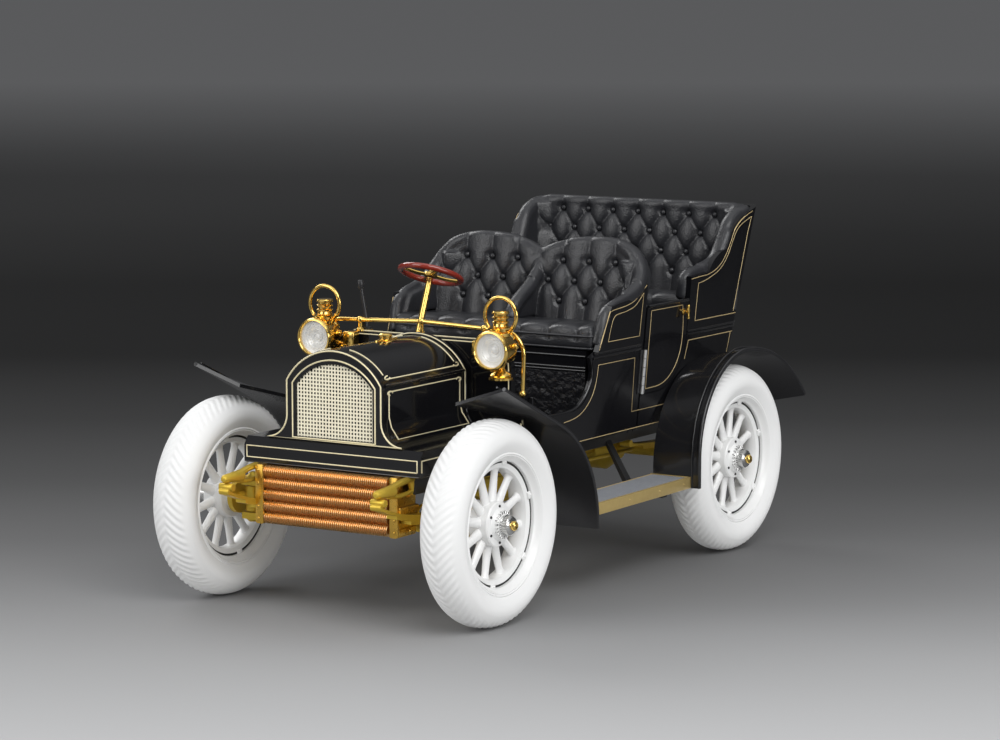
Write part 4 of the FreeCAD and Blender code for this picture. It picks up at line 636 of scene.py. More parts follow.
def panel(outlines, x, thick, bevel=0.12):
    """A flat plate across the car, from its outline and any holes in it, with eased edges."""
    clear()
    bpy.ops.curve.primitive_bezier_curve_add(location=(0, 0, 0))
    piece = bpy.context.object
    curve = piece.data
    curve.splines.clear()
    curve.dimensions = "2D"
    for outline in outlines:
        spline = curve.splines.new("POLY")
        spline.points.add(len(outline) - 1)
        for knot, (y, z) in zip(spline.points, outline):
            knot.co = (y * MM, z * MM, 0, 1)
        spline.use_cyclic_u = True
    curve.fill_mode = "BOTH"
    curve.extrude = (thick / 2 - bevel) * MM
    curve.bevel_depth = bevel * MM
    curve.bevel_resolution = 2
    curve.offset = -bevel * MM
    bpy.ops.object.convert(target="MESH")
    across = Matrix(((0, 0, 1, (x - thick / 2) * MM), (1, 0, 0, 0), (0, 1, 0, 0), (0, 0, 0, 1)))
    piece = bpy.context.object
    piece.data.transform(across)
    return piece


grille_front = AXLE + 8.6
outer_bell = bell(14.4, 66.5, 58.3, 43.25, 6.2)
hole_bell = bell(11.5, 62.9, 57.2, 44.2)
plate = panel([outer_bell, hole_bell], grille_front, 1.2)
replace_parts(finish(plate, "grille_plate", body_black, "chassis"), "grille")
inner_line = [(grille_front + 0.05, y, z) for y, z in bell(12.35, 63.9, 57.6, 43.9)]
outer_line = [(grille_front + 0.05, y, z) for y, z in bell(14.05, 66.15, 58.15, 43.55, 6.0)]
lining("grille_lines", [outer_line + outer_line[:1], inner_line + inner_line[:1]], paint=line_pale,
       radius=0.22)

mesh_cream = Paint("mesh_cream", (0.93, 0.88, 0.71), 0.4, 0.15)
mesh_cream.tint(mesh_cream.noise(1.2, 3), (0.86, 0.79, 0.59))
mesh_cream.feed("Roughness", 0.34 + 0.16 * mesh_cream.noise(2.0))
mesh_pitch, mesh_x, bar = 0.93, grille_front - 0.55, 0.2
mesh_low, mesh_top, mesh_half = 44.1, 62.8, 11.5
arch, arch_middle = 14.4, 48.4
bars = []
for number in range(-12, 13):
    y = number * mesh_pitch
    top = min(mesh_top, arch_middle + math.sqrt(max(arch ** 2 - y ** 2, 0)))
    bars.append(block((mesh_x - 0.3, y - bar, mesh_low), (mesh_x, y + bar, top), 0.06, 1))
for number in range(20):
    z = mesh_low + 0.4 + number * mesh_pitch
    half = min(mesh_half, math.sqrt(max(arch ** 2 - max(z - arch_middle, 0) ** 2, 0)))
    bars.append(block((mesh_x - 0.36, -half, z - bar), (mesh_x - 0.06, half, z + bar), 0.06, 1))
finish(joined(bars), "grille_mesh", mesh_cream, "chassis")
backing = panel([bell(11.7, 63.2, 57.3, 43.9)], mesh_x - 0.95, 0.15, 0.03)
finish(backing, "grille_backing", line_black, "chassis")

# Bonnet: pressed black sheet of the same bell section, with a bead along each shoulder, lined panels
# and a gold filler cap on top. A flange meets it at the dash.
bonnet_front, bonnet_rear = AXLE + 7.2, AXLE - 30.0
beads = [tube([[(bonnet_front, y, 58.3), (bonnet_rear, y, 58.3)]], 0.42, sides=3) for y in (14.5, -14.5)]
finish(joined(beads), "bonnet_beads", bead_black, "chassis", 60)
flange = panel([bell(15.0, 67.2, 58.5, 43.3, 6.2), bell(13.9, 66.0, 58.1, 43.3, 6.2)], AXLE - 28.7, 1.2, 0.3)
finish(flange, "bonnet_flange", body_black, "chassis")
start, end = AXLE + 5.6, AXLE - 26.6
shoulder_line, cheek = (13.65, 59.75), [(14.44, 56.7), (14.44, 50.4), (15.15, 47.9), (17.2, 45.2)]
lines = [[(AXLE - 28.65, y, z) for y, z in bell(14.75, 66.9, 58.4, 50.0)]]
for hand in (1, -1):
    for x in (start, end):
        lines.append([(x, y * hand, z + 0.04) for y, z in bell(14.4, 66.54, 58.3)[:11] if z > 59.6])
    lines.append([(x, shoulder_line[0] * hand, shoulder_line[1]) for x in (start, end)])
    around = [(start, y, z) for y, z in cheek] + [(end, y, z) for y, z in cheek[::-1]] + [(start, *cheek[0])]
    lines.append([(x, y * hand, z) for x, y, z in around])
    # a small curl where lines meet
    for x, way in ((start, -1), (end, 1)):
        for (y, z), turn in ((cheek[0], -1), (shoulder_line, 1)):
            lines.append([(x + way * (0.5 - 1.1 * math.sin(t * 0.6)), y * hand,
                           z + turn * (0.35 + 0.5 * math.cos(t * 0.6))) for t in range(9)])
lining("bonnet_lines", lines, paint=line_pale, radius=0.18)
cap = turned([(0, 65.9), (2.3, 65.9), (2.3, 66.5), (1.9, 66.7), (1.5, 66.8), (1.5, 67.3), (1.7, 67.4),
              (1.7, 68.0), (1.3, 68.3), (0, 68.4)], (AXLE - 14.5, 0, 0), "Z", 32)
strap = block((AXLE - 19.5, -0.5, 66.2), (AXLE - 10.2, 0.5, 66.85), 0.2)
finish(joined([cap, strap]), "filler_cap", gold_plate, "chassis")

# Dash: a flat black board, lined round its edge and along its top. A bowed brass rail stands over it on
# posts with ball ends and turned collars.
dash_face, dash_middle = AXLE - 30.2 + 0.05, AXLE - 31.2
left_edge = [(30.5, 44.0), (30.5, 51.5), (26.8, 51.5), (26.8, 65.5)]
inset = [Vector((dash_face, y, z)) for y, z in left_edge + [(-y, z) for y, z in left_edge[::-1]]]
line = inset[:3] + eased(inset[2:6], 6.2)[1:-1] + inset[5:]
lining("dash_lines", [line, [(dash_middle, y, 66.25) for y in (21, 0, -21)]], paint=line_pale, radius=0.18)
repaint(gold_plate, "dash_rail", "steering_column")
collar = [(0, 66.1), (1.1, 66.1), (1.1, 66.6), (0.75, 67.0), (0, 67.0)]
collars = [turned(collar, (dash_middle, y, 0), "Z", 20) for y in (-19, 0, 19)]
finish(joined(collars), "rail_collars", gold_plate, "chassis")

# Spark lever: a black rod with a round grip and a boot at its foot. It stands in a gold socket on the back
# of the dash.
lever_black = Paint("lever_black", (0.02, 0.02, 0.022), 0.3)
lever_black.feed("Roughness", 0.24 + 0.16 * lever_black.noise(1.2))
repaint(lever_black, "control_lever")
low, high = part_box("control_lever")
tip = Vector(((low.x + high.x) / 2, low.y + 0.7 * MM, high.z - 0.6 * MM)) / MM
grip = turned([(0, -1.6), (0.62, -1.5), (0.85, -0.8), (0.95, 0.1), (0.7, 0.9), (0, 1.15)], tip, "Z", 20)
heel = Vector((tip.x, high.y / MM - 0.7, low.z / MM + 0.6))
boot = turned([(0, -1.0), (0.95, -0.9), (1.05, 0.1), (0.7, 1.0), (0, 1.1)], heel.lerp(tip, 0.36), "Z", 20)
rod = tube([[tuple(heel), tuple(tip)]], 0.5, sides=3)
finish(joined([grip, boot, rod]), "lever_grip", lever_black, "chassis")
socket = block((tip.x - 1.3, -19.0, 61.6), (tip.x + 1.3, -16.9, 66.4), 0.35, 3)
finish(socket, "lever_socket", gold_plate, "chassis")

# Oil lamps: plated drums with a bright reflector behind glass, a tiered chimney, a carrying ring and a
# flared foot, each on a bracket from the dash.
mirror_silver = Paint("mirror_silver", (0.90, 0.89, 0.85), 0.36, 0.35)
mirror_silver.feed("Roughness", 0.34 + 0.08 * mirror_silver.noise(1.0))
lamp_glass = Paint("lamp_glass", (0.90, 0.91, 0.92), 0.05, 0.0, {"Alpha": 0.16})
lamp_glass.feed("Roughness", 0.04 + 0.03 * lamp_glass.noise(0.6))
lamp_x, lamp_y, lamp_z = AXLE - 25.1, 26.8, 64.8
lamp_at, stem_at = (lamp_x, lamp_y, lamp_z), (lamp_x - 1.3, lamp_y, lamp_z)
drum = turned([(0, -4.3), (1.2, -4.3), (1.5, -4.0), (2.4, -3.9), (3.6, -3.2), (3.9, -2.6), (3.9, 0.6),
               (4.2, 0.9), (4.2, 1.5), (4.0, 1.7), (4.3, 2.2), (4.95, 2.6), (5.15, 3.1), (5.1, 3.7),
               (4.85, 4.1), (4.5, 4.15), (4.3, 3.9), (4.25, 3.2), (4.2, 2.5)], lamp_at, "X", 48)
chimney = turned([(2.4, 3.2), (2.5, 4.1), (2.0, 4.4), (2.0, 5.0), (3.3, 5.2), (3.35, 5.5), (2.0, 5.8),
                  (1.8, 6.4), (2.15, 6.6), (2.2, 6.95), (1.75, 7.2), (1.75, 7.6), (2.15, 7.8), (2.2, 8.1),
                  (1.75, 8.35), (1.75, 8.7), (2.15, 8.9), (2.2, 9.3), (2.0, 9.6), (0.4, 9.7), (0, 9.72)],
                 stem_at, "Z", 36)
foot = turned([(0, -3.6), (1.5, -3.6), (1.3, -4.3), (1.0, -4.9), (1.6, -5.5), (2.5, -6.0), (2.9, -6.6),
               (2.6, -7.0), (3.1, -7.2), (3.1, -7.7), (0, -7.75)], stem_at, "Z", 36)
ring_radius, ring_z = 4.6, 73.2
turns = [math.tau * k / 48 for k in range(48)]
ring = [(stem_at[0], lamp_y + ring_radius * math.cos(t), ring_z + ring_radius * math.sin(t)) for t in turns]
ring = tube([ring], 0.52, True, 4)
tank = turned([(0, -3.2), (1.5, -3.2), (1.75, -2.8), (1.75, 2.6), (1.2, 3.2), (0.6, 3.4), (0.6, 4.0),
               (0, 4.1)], (lamp_x - 5.0, lamp_y, lamp_z), "Z", 28)
ear = turned([(0, 3.9), (0.7, 3.9), (0.8, 4.3), (0.8, 4.9), (0.5, 5.1), (0, 5.15)],
             (lamp_x - 1.3, lamp_y, lamp_z + 1.0), "Y", 16)
to_lamp = Matrix.Translation((0, lamp_y * MM, 0))
ears = [ear, copied(ear, to_lamp @ MIRROR @ to_lamp.inverted())]
stay = tube([eased([(lamp_x - 4.5, lamp_y - 1.5, lamp_z - 2), (lamp_x - 4.5, lamp_y - 4.6, lamp_z - 2.6),
                    (lamp_x - 6.4, lamp_y - 5.2, lamp_z - 2.6)], 1.5)], 0.6, sides=3)
arm_block = block((lamp_x - 4.3, lamp_y - 8.8, lamp_z - 2.2), (lamp_x - 1.3, lamp_y - 5.4, lamp_z + 1.5),
                  0.5, 3)
lamp = joined([drum, chimney, foot, ring, tank, stay, arm_block, *ears])
dish = turned([(4.25, 3.1), (3.7, 2.95), (3.2, 2.4), (3.0, 2.6), (2.5, 2.15), (2.0, 1.5), (1.8, 1.7),
               (1.1, 1.2), (0, 1.1)], lamp_at, "X", 48)
burner = turned([(0, 1.0), (0.95, 1.0), (1.05, 1.6), (0.7, 2.1), (0, 2.35)], lamp_at, "X", 24)
dish = joined([dish, burner])
glass = turned([(4.24, 3.35), (4.24, 3.6), (2.9, 3.88), (1.4, 4.03), (0, 4.07), (0, 3.85), (1.4, 3.8),
                (2.9, 3.63), (4.24, 3.35)], lamp_at, "X", 40)
lamp_pieces = ((lamp, "lamp_body_", gold_plate), (dish, "lamp_reflector_", mirror_silver),
               (glass, "lamp_lens_", lamp_glass))
for piece, name, paint in lamp_pieces:
    right = finish(copied(piece, MIRROR), name + "right", paint, "chassis")
    left = finish(piece, name + "left", paint, "chassis")
    if piece is lamp:
        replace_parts(right, "lamp_right")
        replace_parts(left, "lamp_left")

# Steering wheel: a glossy dark red rim on four plated arms. Its hub sits square on the column, which leans
# back towards the driver.
rim_red = Paint("rim_red", (0.20, 0.018, 0.010), 0.16, 0.0, {"Coat Weight": 0.8, "Coat Roughness": 0.05})
rim_red.tint(rim_red.noise(0.5, 3), (0.28, 0.03, 0.014))
rim_red.feed("Roughness", 0.12 + 0.12 * rim_red.noise(1.0, 3))
rim_radius, grip_across, grip_deep = 8.15, 0.92, 0.8
turns = [math.tau * k / 14 for k in range(15)]
rim = turned([(rim_radius + grip_across * math.cos(t), grip_deep * math.sin(t)) for t in turns], along="Z",
             steps=72)
arms = [turned([(0, -0.7), (1.7, -0.7), (1.9, -0.3), (1.7, 0.3), (1.0, 0.55), (0.6, 1.0), (0, 1.05)],
               along="Z", steps=28)]
for number in range(4):
    arm = tube([eased([(1.0, 0, -0.35), (4.5, 0, -0.5), (7.7, 0, 0)], 2)], 0.6, sides=3)
    turn = Matrix.Rotation(math.radians(45 + 90 * number), 4, "Z")
    arm.data.transform(turn @ Matrix.Diagonal((1, 1.25, 0.8, 1)))
    arms.append(arm)
spider = joined(arms)
rake, wheel_at = math.radians(-22), Vector((AXLE - 61.7, -17, 78.3))
tilt = Matrix.Translation(wheel_at * MM) @ Matrix.Rotation(rake, 4, "Y")
rim.data.transform(tilt)
spider.data.transform(tilt)
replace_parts(finish(rim, "steering_rim", rim_red, "steering"), "steering_wheel")
finish(spider, "steering_spider", gold_plate, "steering")

# Floor: a pebbled black rubber mat laid over the floor and up the sloping toe board. Its grain is moulded
# in, so it is relief in the finish.
mat_black = Paint("mat_black", (0.016, 0.016, 0.017), 0.55)
weave = mat_black.node("ShaderNodeTexVoronoi", {}, {"Vector": mat_black.place, "Scale": 900.0})
mat_black.feed("Roughness", 0.4 + 0.3 * weave)
mat_black.relief(weave, 0.35)
repaint(mat_black, "floor")

# Side panels: black sheet leaning out a little, scooped for the front entry, with beads at seat height and
# two lined panels. The measures run back from the front axle and up from the ground.
LEAN, foot_half = math.tan(math.radians(5.2)), 31.0


def body_side(height, proud=-0.08):
    """How far out the body side stands at a height above the ground."""
    return foot_half + LEAN * (height - rail_top) + proud


def on_sides(line, proud=-0.08):
    """A line drawn on both body sides, from its distances behind the front axle and its heights."""
    return [[(AXLE - back, way * body_side(height, proud), height) for back, height in line]
            for way in (1, -1)]


def flowing(points, steps=5):
    """A smooth line through the points."""
    points = [Vector((*p, 0)[:3]) for p in points]
    padded = [points[0] * 2 - points[1]] + points + [points[-1] * 2 - points[-2]]
    line = []
    for a, b, c, d in zip(padded, padded[1:], padded[2:], padded[3:]):
        for step in range(steps):
            t = step / steps
            line.append(b + (c - a) * 0.5 * t + (a * 2 - b * 5 + c * 4 - d) * 0.5 * t ** 2 +
                        (b * 3 - a - c * 3 + d) * 0.5 * t ** 3)
    return [tuple(p)[:2] for p in line + [points[-1]]]


scoop = flowing([(49.5, 43.55), (53.9, 43.9), (56.8, 44.5), (59.0, 45.4), (60.9, 46.7), (62.6, 48.4),
                 (63.8, 50.3), (64.6, 52.6), (65.0, 55.0)])
seat_curve = flowing([(69.2, 62.6), (70.2, 66.6), (71.3, 68.8), (73.0, 69.5), (77.6, 69.9), (81.8, 70.8),
                      (84.6, 72.6), (86.2, 74.0)])
seat_rim = flowing([(64.9, 60.8), (66.9, 65.6), (68.7, 69.8), (70.0, 70.7), (77.3, 71.4), (81.5, 72.3),
                    (84.8, 74.2), (87.6, 76.0)])
lines = []
for line in (scoop + [(65.0, 56.9), (84.3, 56.8), (85.0, 42.2), (116, 42.1)],
             [(33.5, 37.55), (116, 37.5)],
             seat_curve + [(86.0, 68.5), (85.8, 62.5), (69.2, 62.6)],
             seat_rim):
    lines += on_sides(line)
lining("side_lines", lines, radius=0.15)
beads = []
for line in ([(62.2, 60.0), (87.0, 60.0)], [(62.0, 58.95), (87.0, 58.95)]):
    beads += on_sides(line, -0.05)
rim_bead = flowing([(33.0, 52.0), (34.2, 48.9), (37.0, 47.0), (42.5, 46.15), (53.4, 46.15), (58.7, 47.9),
                    (61.9, 51.6), (62.9, 55.4), (61.5, 59.1)])
beads += on_sides(rim_bead, -0.5)
finish(tube(beads, 0.36, sides=3), "side_beads", bead_black, "chassis", 60)

# Seat box: the black riser under the front seat, with a bead above and a double bead below. The toe space
# under them is a crinkled sheet.
beads = [[(AXLE - 64.5 + 0.05, y, z) for y in (29.2, -29.2)] for z in (58.9, 55.9, 55.1)]
finish(tube(beads, 0.3, sides=3), "riser_beads", bead_black, "chassis", 60)
crinkle_black = Paint("crinkle_black", (0.010, 0.010, 0.012), 0.2)
crinkle = crinkle_black.noise(0.55, 5)
crinkle_black.feed("Roughness", 0.14 + 0.2 * crinkle)
crinkle_black.relief(crinkle, 1.1)
riser = block((AXLE - 64.7, -29.0, 39.6), (AXLE - 64.36, 29.0, 54.6), 0.1, 1)
finish(riser, "riser_panel", crinkle_black, "chassis")

# Doors: flush panels behind the front seat, hung on a bright hinge at the front edge and shut by a plated
# handle, with one lined panel each.
door_curve = flowing([(108.6, 68.7), (109.6, 64.5), (109.9, 60.0), (109.3, 56.0), (107.7, 52.8),
                      (105.2, 50.3), (102.2, 48.6), (98.5, 47.75), (93.3, 47.6)])
door_line = [(91.4, 68.7)] + door_curve + [(91.6, 47.6), (91.4, 57.5), (91.4, 68.7)]
cap_line = [(89.6, 69.9), (111.6, 69.9)]
hinge_low, hinge_x, knuckle_pitch = 46.6, 88.9, 2.4
silver_hinge = Paint("hinge_silver", (0.80, 0.80, 0.79), 0.22, 1.0)
silver_hinge.feed("Roughness", 0.18 + 0.12 * silver_hinge.noise(1.2))
for index, name in enumerate(("left", "right")):
    body = "door_" + name
    lining("door_lines_" + name, [on_sides(door_line)[index]], body, 0.15)
    cap = tube([on_sides(cap_line, -0.1)[index]], 0.42, sides=3)
    finish(cap, "door_cap_" + name, bead_black, body, 60)
    way = 1 - 2 * index
    tilt, outward = Matrix.Rotation(-way * math.atan(LEAN), 4, "X"), Matrix.Scale(way, 4, (0, 1, 0))
    knuckles = []
    for number in range(5):
        z = hinge_low + knuckle_pitch * number
        knuckle = turned([(0, 0.05), (0.72, 0.05), (0.72, 2.33), (0, 2.33)], (0, 0, 0), "Z", 16)
        spot = Vector((AXLE - hinge_x, (body_side(z) + 0.48) * way, z))
        knuckle.data.transform(Matrix.Translation(spot * MM) @ tilt)
        knuckles.append(knuckle)
    finish(joined(knuckles), "hinge_" + name, silver_hinge, body)
    leaf = block((AXLE - 88.2, -0.12, 0), (AXLE - 86.9, 0.12, 12.0), 0.05, 1)
    leaf_at = Vector((0, body_side(hinge_low, 0.08) * way, hinge_low))
    leaf.data.transform(Matrix.Translation(leaf_at * MM) @ tilt)
    screws = []
    for z in (48.6, 52.6, 56.6):
        screw = dome((AXLE - 87.5, 0, 0), 0.26, 0.5, "Y", 10)
        screw.data.transform(Matrix.Translation(Vector((0, body_side(z, 0.16) * way, z)) * MM) @ outward)
        screws.append(screw)
    finish(joined([leaf, *screws]), "hinge_leaf_" + name, body_black, "chassis")
    low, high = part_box("handle_" + name)
    z, x = (low.z + high.z) / 2 / MM, (low.x + high.x) / 2 / MM
    plate_y = body_side(z, 0.0) * way
    rose = turned([(0, 0.0), (0.95, 0.0), (0.95, 0.2), (0.7, 0.35), (0.45, 0.45), (0.4, 1.1), (0.55, 1.3),
                   (0, 1.3)], along="Y", steps=20)
    rose.data.transform(Matrix.Translation(Vector((x, plate_y, z)) * MM) @ outward)
    if way < 0:
        rose.data.flip_normals()
    lever = turned([(0, -2.0), (0.42, -1.9), (0.5, -1.5), (0.34, -0.8), (0.42, 0), (0.34, 0.8), (0.5, 1.5),
                    (0.42, 1.9), (0, 2.0)], (x, plate_y + 1.45 * way, z), "Z", 16)
    latch = block((x - 3.4, plate_y - 0.25, z - 0.35), (x - 0.4, plate_y + 0.3, z + 0.35), 0.12)
    handle = finish(joined([rose, lever, latch]), "door_handle_" + name, gold_plate, body)
    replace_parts(handle, "handle_" + name)


# Rear body: a tub with a swept top. Beads and cream lines run round its sides and back, and a line follows
# the sweep just under the edge.
def tub_back(height):
    """How far behind the front axle the tub's back stands at a height."""
    return 136.8 + math.tan(math.radians(12.6)) * (height - rail_top)


def round_tub(height, start=112.6, proud=-0.08):
    """A level line round the tub from one door, across the back, to the other door."""
    out, back, corner = body_side(height, proud), tub_back(height) + proud, 3.2
    line = [(AXLE - start, out, height)]
    for step in range(9):
        t = step * math.pi / 16
        line.append((AXLE - back + corner * (1 - math.sin(t)), out - corner * (1 - math.cos(t)), height))
    return line + [(x, -y, z) for x, y, z in line[::-1]]


sweep_panel = flowing([(116.6, 73.9), (120.5, 74.4), (124.2, 75.3), (127.8, 76.5), (130.3, 78.1),
                       (132.0, 79.8), (133.4, 81.9), (135.0, 84.8), (136.6, 87.0), (139.0, 88.5),
                       (143.0, 89.8), (144.6, 90.3)])
sweep_rim = flowing([(112.4, 75.4), (117.0, 75.7), (121.6, 75.9), (126.0, 76.9), (129.2, 78.6),
                     (131.6, 81.0), (133.6, 84.2), (135.3, 87.2), (138.2, 89.4), (141.6, 90.8),
                     (145.0, 91.8)])
lines = [round_tub(58.5, 113.6), round_tub(42.1, 116), round_tub(63.6, 116.4), round_tub(37.6, 116)]
for line in (sweep_panel + [(143.2, 86.0), (138.6, 64.2)], [(116.6, 73.9), (116.4, 63.6)], sweep_rim,
             [(138.0, 58.5), (134.4, 42.1)], [(113.6, 58.5), (112.2, 53.5)]):
    lines += on_sides(line)
for z_low, z_high in ((42.1, 58.5), (63.6, 90.2)):
    for way in (1, -1):
        lines.append([(AXLE - tub_back(z) - 0.08, way * (body_side(z) - 4.2), z) for z in (z_low, z_high)])
lines.append([(AXLE - tub_back(90.2) - 0.08, y, 90.2) for y in (-31.2, 31.2)])
lining("tub_lines", lines, radius=0.15)
beads = [round_tub(61.0, 112.6, -0.05), round_tub(60.15, 112.6, -0.05)]
finish(tube(beads, 0.36, sides=3), "tub_beads", bead_black, "chassis", 60)

# Front cushion: one squab across the car, moulded to look like black leather over padding, with short
# pleats over its front edge and piping along it. Seats start as blocks and rolls, are made into one skin
# and eased, and their pleats are then pressed in.
seat_leather = Paint("seat_leather", (0.016, 0.0165, 0.019), 0.30, 0.0, {"Specular IOR Level": 0.6})
grain = seat_leather.node("ShaderNodeTexVoronoi", {}, {"Vector": seat_leather.place, "Scale": 2600.0})
seat_leather.tint(seat_leather.noise(0.15, 3), (0.021, 0.0215, 0.025))
seat_leather.feed("Roughness", 0.25 + 0.1 * seat_leather.noise(0.5, 3) + 0.06 * grain)
seat_leather.relief(grain + 1.5 * seat_leather.noise(0.9, 3), 0.05)


def skinned(pieces, voxel=0.34, ease=14):
    """One even skin over several overlapping solids, with its edges eased."""
    piece = joined(pieces)
    clear()
    piece.select_set(True)
    bpy.context.view_layer.objects.active = piece
    bpy.ops.object.mode_set(mode="EDIT")
    bpy.ops.mesh.select_all(action="SELECT")
    bpy.ops.mesh.normals_make_consistent(inside=False)
    bpy.ops.object.mode_set(mode="OBJECT")
    piece.data.remesh_voxel_size = voxel * MM
    bpy.ops.object.voxel_remesh()
    bpy.ops.object.mode_set(mode="EDIT")
    bpy.ops.mesh.select_all(action="SELECT")
    bpy.ops.mesh.vertices_smooth(factor=0.5, repeat=ease)
    bpy.ops.object.mode_set(mode="OBJECT")
    return piece


def fade(value, start, end):
    """Runs smoothly from 0 at the start to 1 at the end."""
    t = min(1.0, max(0.0, (value - start) / (end - start)))
    return t * t * (3 - 2 * t)


def pleated(piece, front, back, spacing, top, depth=1.15):
    """Presses short pleats into a cushion from its front edge back along its top."""
    for vertex in piece.data.vertices:
        x, y, z = vertex.co.x / MM - AXLE, vertex.co.y / MM, vertex.co.z / MM
        u = (y + (front - x) * 0.10) / spacing
        crease = 1 - abs(math.sin(math.pi * u)) ** 0.4
        reach = fade(x, back, back + 3.5) * fade(z, top - 3.6, top - 2.2)
        swell = math.exp(-(((x - front + 4.5) / 5.5) ** 2))
        vertex.co.z += (swell * fade(z, top - 1.5, top - 0.2) - depth * crease * reach) * MM
        vertex.co.x -= depth * 0.55 * crease * reach * fade(x, front - 2.5, front - 0.5) * MM


def padded_piece(piece, name, smooth=80):
    """Finishes a leather piece."""
    finish(piece, name, seat_leather, "chassis", smooth)
    return piece


seat_half, pleat_pitch = 31.0, 8.7
front, top = -64.4, 66.1
cushion = skinned([block((AXLE - 84.6, -seat_half, 60.7), (AXLE + front, seat_half, top), 1.3, 3)])
pleated(cushion, front, -74.0, pleat_pitch, top)
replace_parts(padded_piece(cushion, "front_cushion_leather"), "front_cushion")


def piped(front, back, heights, name):
    """Piping round three sides of a cushion, at each of its seams."""
    cords = []
    for z in heights:
        for way in (1, -1):
            line = [(AXLE + back, seat_half * way, z), (AXLE + front, (seat_half - 0.1) * way, z),
                    (AXLE + front, 0, z)]
            cords.append(tube([eased(line, 1.6)], 0.32, sides=3))
    padded_piece(joined(cords), name)


piped(front + 0.05, -84, (64.2, 61.0), "front_cushion_piping")


# Front seat backs: twin buttoned backs with a rolled edge that runs on into the arm rests, and a padded
# ridge between them. They are drawn in at every button, with creases between neighbouring buttons.
def upright(outline, low, high):
    """A plate seen from the side, between two distances from the centre line."""
    piece = panel([outline], 0, high - low, 0.1)
    turn = Matrix(((0, 1, 0, 0), (1, 0, 0, (low + high) / 2 * MM), (0, 0, 1, 0), (0, 0, 0, 1)))
    shift = Matrix.Translation(((high - low) / 2 * MM, 0, 0))
    piece.data.transform(turn @ shift)
    return piece


def corner_pad(foot, top, size):
    """Square post set cornerwise, which fills the corner between a seat back and its side."""
    post = block((-size / 2, -size / 2, 0), (size / 2, size / 2, 1), 0.1, 1)
    post.data.transform(Matrix.Rotation(math.radians(45), 4, "Z"))
    for vertex in post.data.vertices:
        share = vertex.co.z / MM
        spot = Vector(foot).lerp(Vector(top), min(1, max(0, share)))
        vertex.co = Vector((vertex.co.x, vertex.co.y, 0)) + spot * MM
    return post


def buttoned(piece, foot, lean, centres, rows, across, half, swell=1.35, pit=0.95):
    """Draws a leaning face in at rows of buttons. Odd rows stand half a step aside; pleats run on from the
    first row to the top and from the last row down. Returns the buttons' places."""
    normal = Vector((math.cos(lean), 0, math.sin(lean)))
    slope = Vector((-math.sin(lean), 0, math.cos(lean)))
    foot = Vector(foot)
    rows = [(z - foot.z) / math.cos(lean) for z in rows]
    step = (rows[0] - rows[-1]) / (len(rows) - 1)
    places = [Vector(v.co) / MM for v in piece.data.vertices]
    normals = [Vector(v.normal) for v in piece.data.vertices]
    spots = []
    for centre, skip in centres:
        for number, row in enumerate(rows):
            offset = 0.0 if number % 2 == 0 else 0.5
            count = int(half / across + 1.01)
            for k in range(-count - 1, count + 1):
                y = (k + offset) * across
                if abs(y) <= half + 0.01 and not skip(y):
                    spots.append(foot + slope * row + Vector((0, centre + y, 0)))
    for vertex, place, facing in zip(piece.data.vertices, places, normals):
        out = facing.dot(normal)
        if out < 0.15:
            continue
        local = place - foot
        v, w = local.dot(slope), local.dot(normal)
        if abs(w) > 3.4:
            continue
        centre = min(centres, key=lambda c: abs(place.y - c[0]))[0]
        u = (place.y - centre) / across
        t = (rows[0] - v) / (2 * step)
        t = 0.0 if v > rows[0] else min(t, (len(rows) - 1) / 2)
        crease = abs(math.sin(math.pi * (u + t)) * math.sin(math.pi * (u - t))) ** 0.32
        if v > rows[0]:
            crease = 1 - (1 - crease) * (0.5 + 0.5 * math.exp(-((v - rows[0]) / 0.9) ** 2))
        edge = 1 - fade(abs(place.y - centre), half + 1.0, half + 4.0)
        crease = crease * edge + 0.75 * (1 - edge)
        near = min((place.y - s.y) ** 2 + ((place - s).dot(slope)) ** 2 for s in spots)
        push = swell * (crease - 0.55) - pit * math.exp(-near / 1.3)
        vertex.co += normal * (push * fade(out, 0.15, 0.7) * MM)
    return spots, normal


def button_heads(spots, normal, radius=0.78):
    """Covered buttons, one standing in each dimple."""
    turn = normal.to_track_quat("Z", "Y").to_matrix().to_4x4()
    head = turned([(0, -0.7), (radius * 0.9, -0.7), (radius, -0.25), (radius * 0.93, 0.0),
                   (radius * 0.7, 0.22), (radius * 0.35, 0.34), (0, 0.38)], along="Z", steps=16)
    heads = [copied(head, Matrix.Translation(spot * MM) @ turn) for spot in spots]
    bpy.data.objects.remove(head)
    return joined(heads)


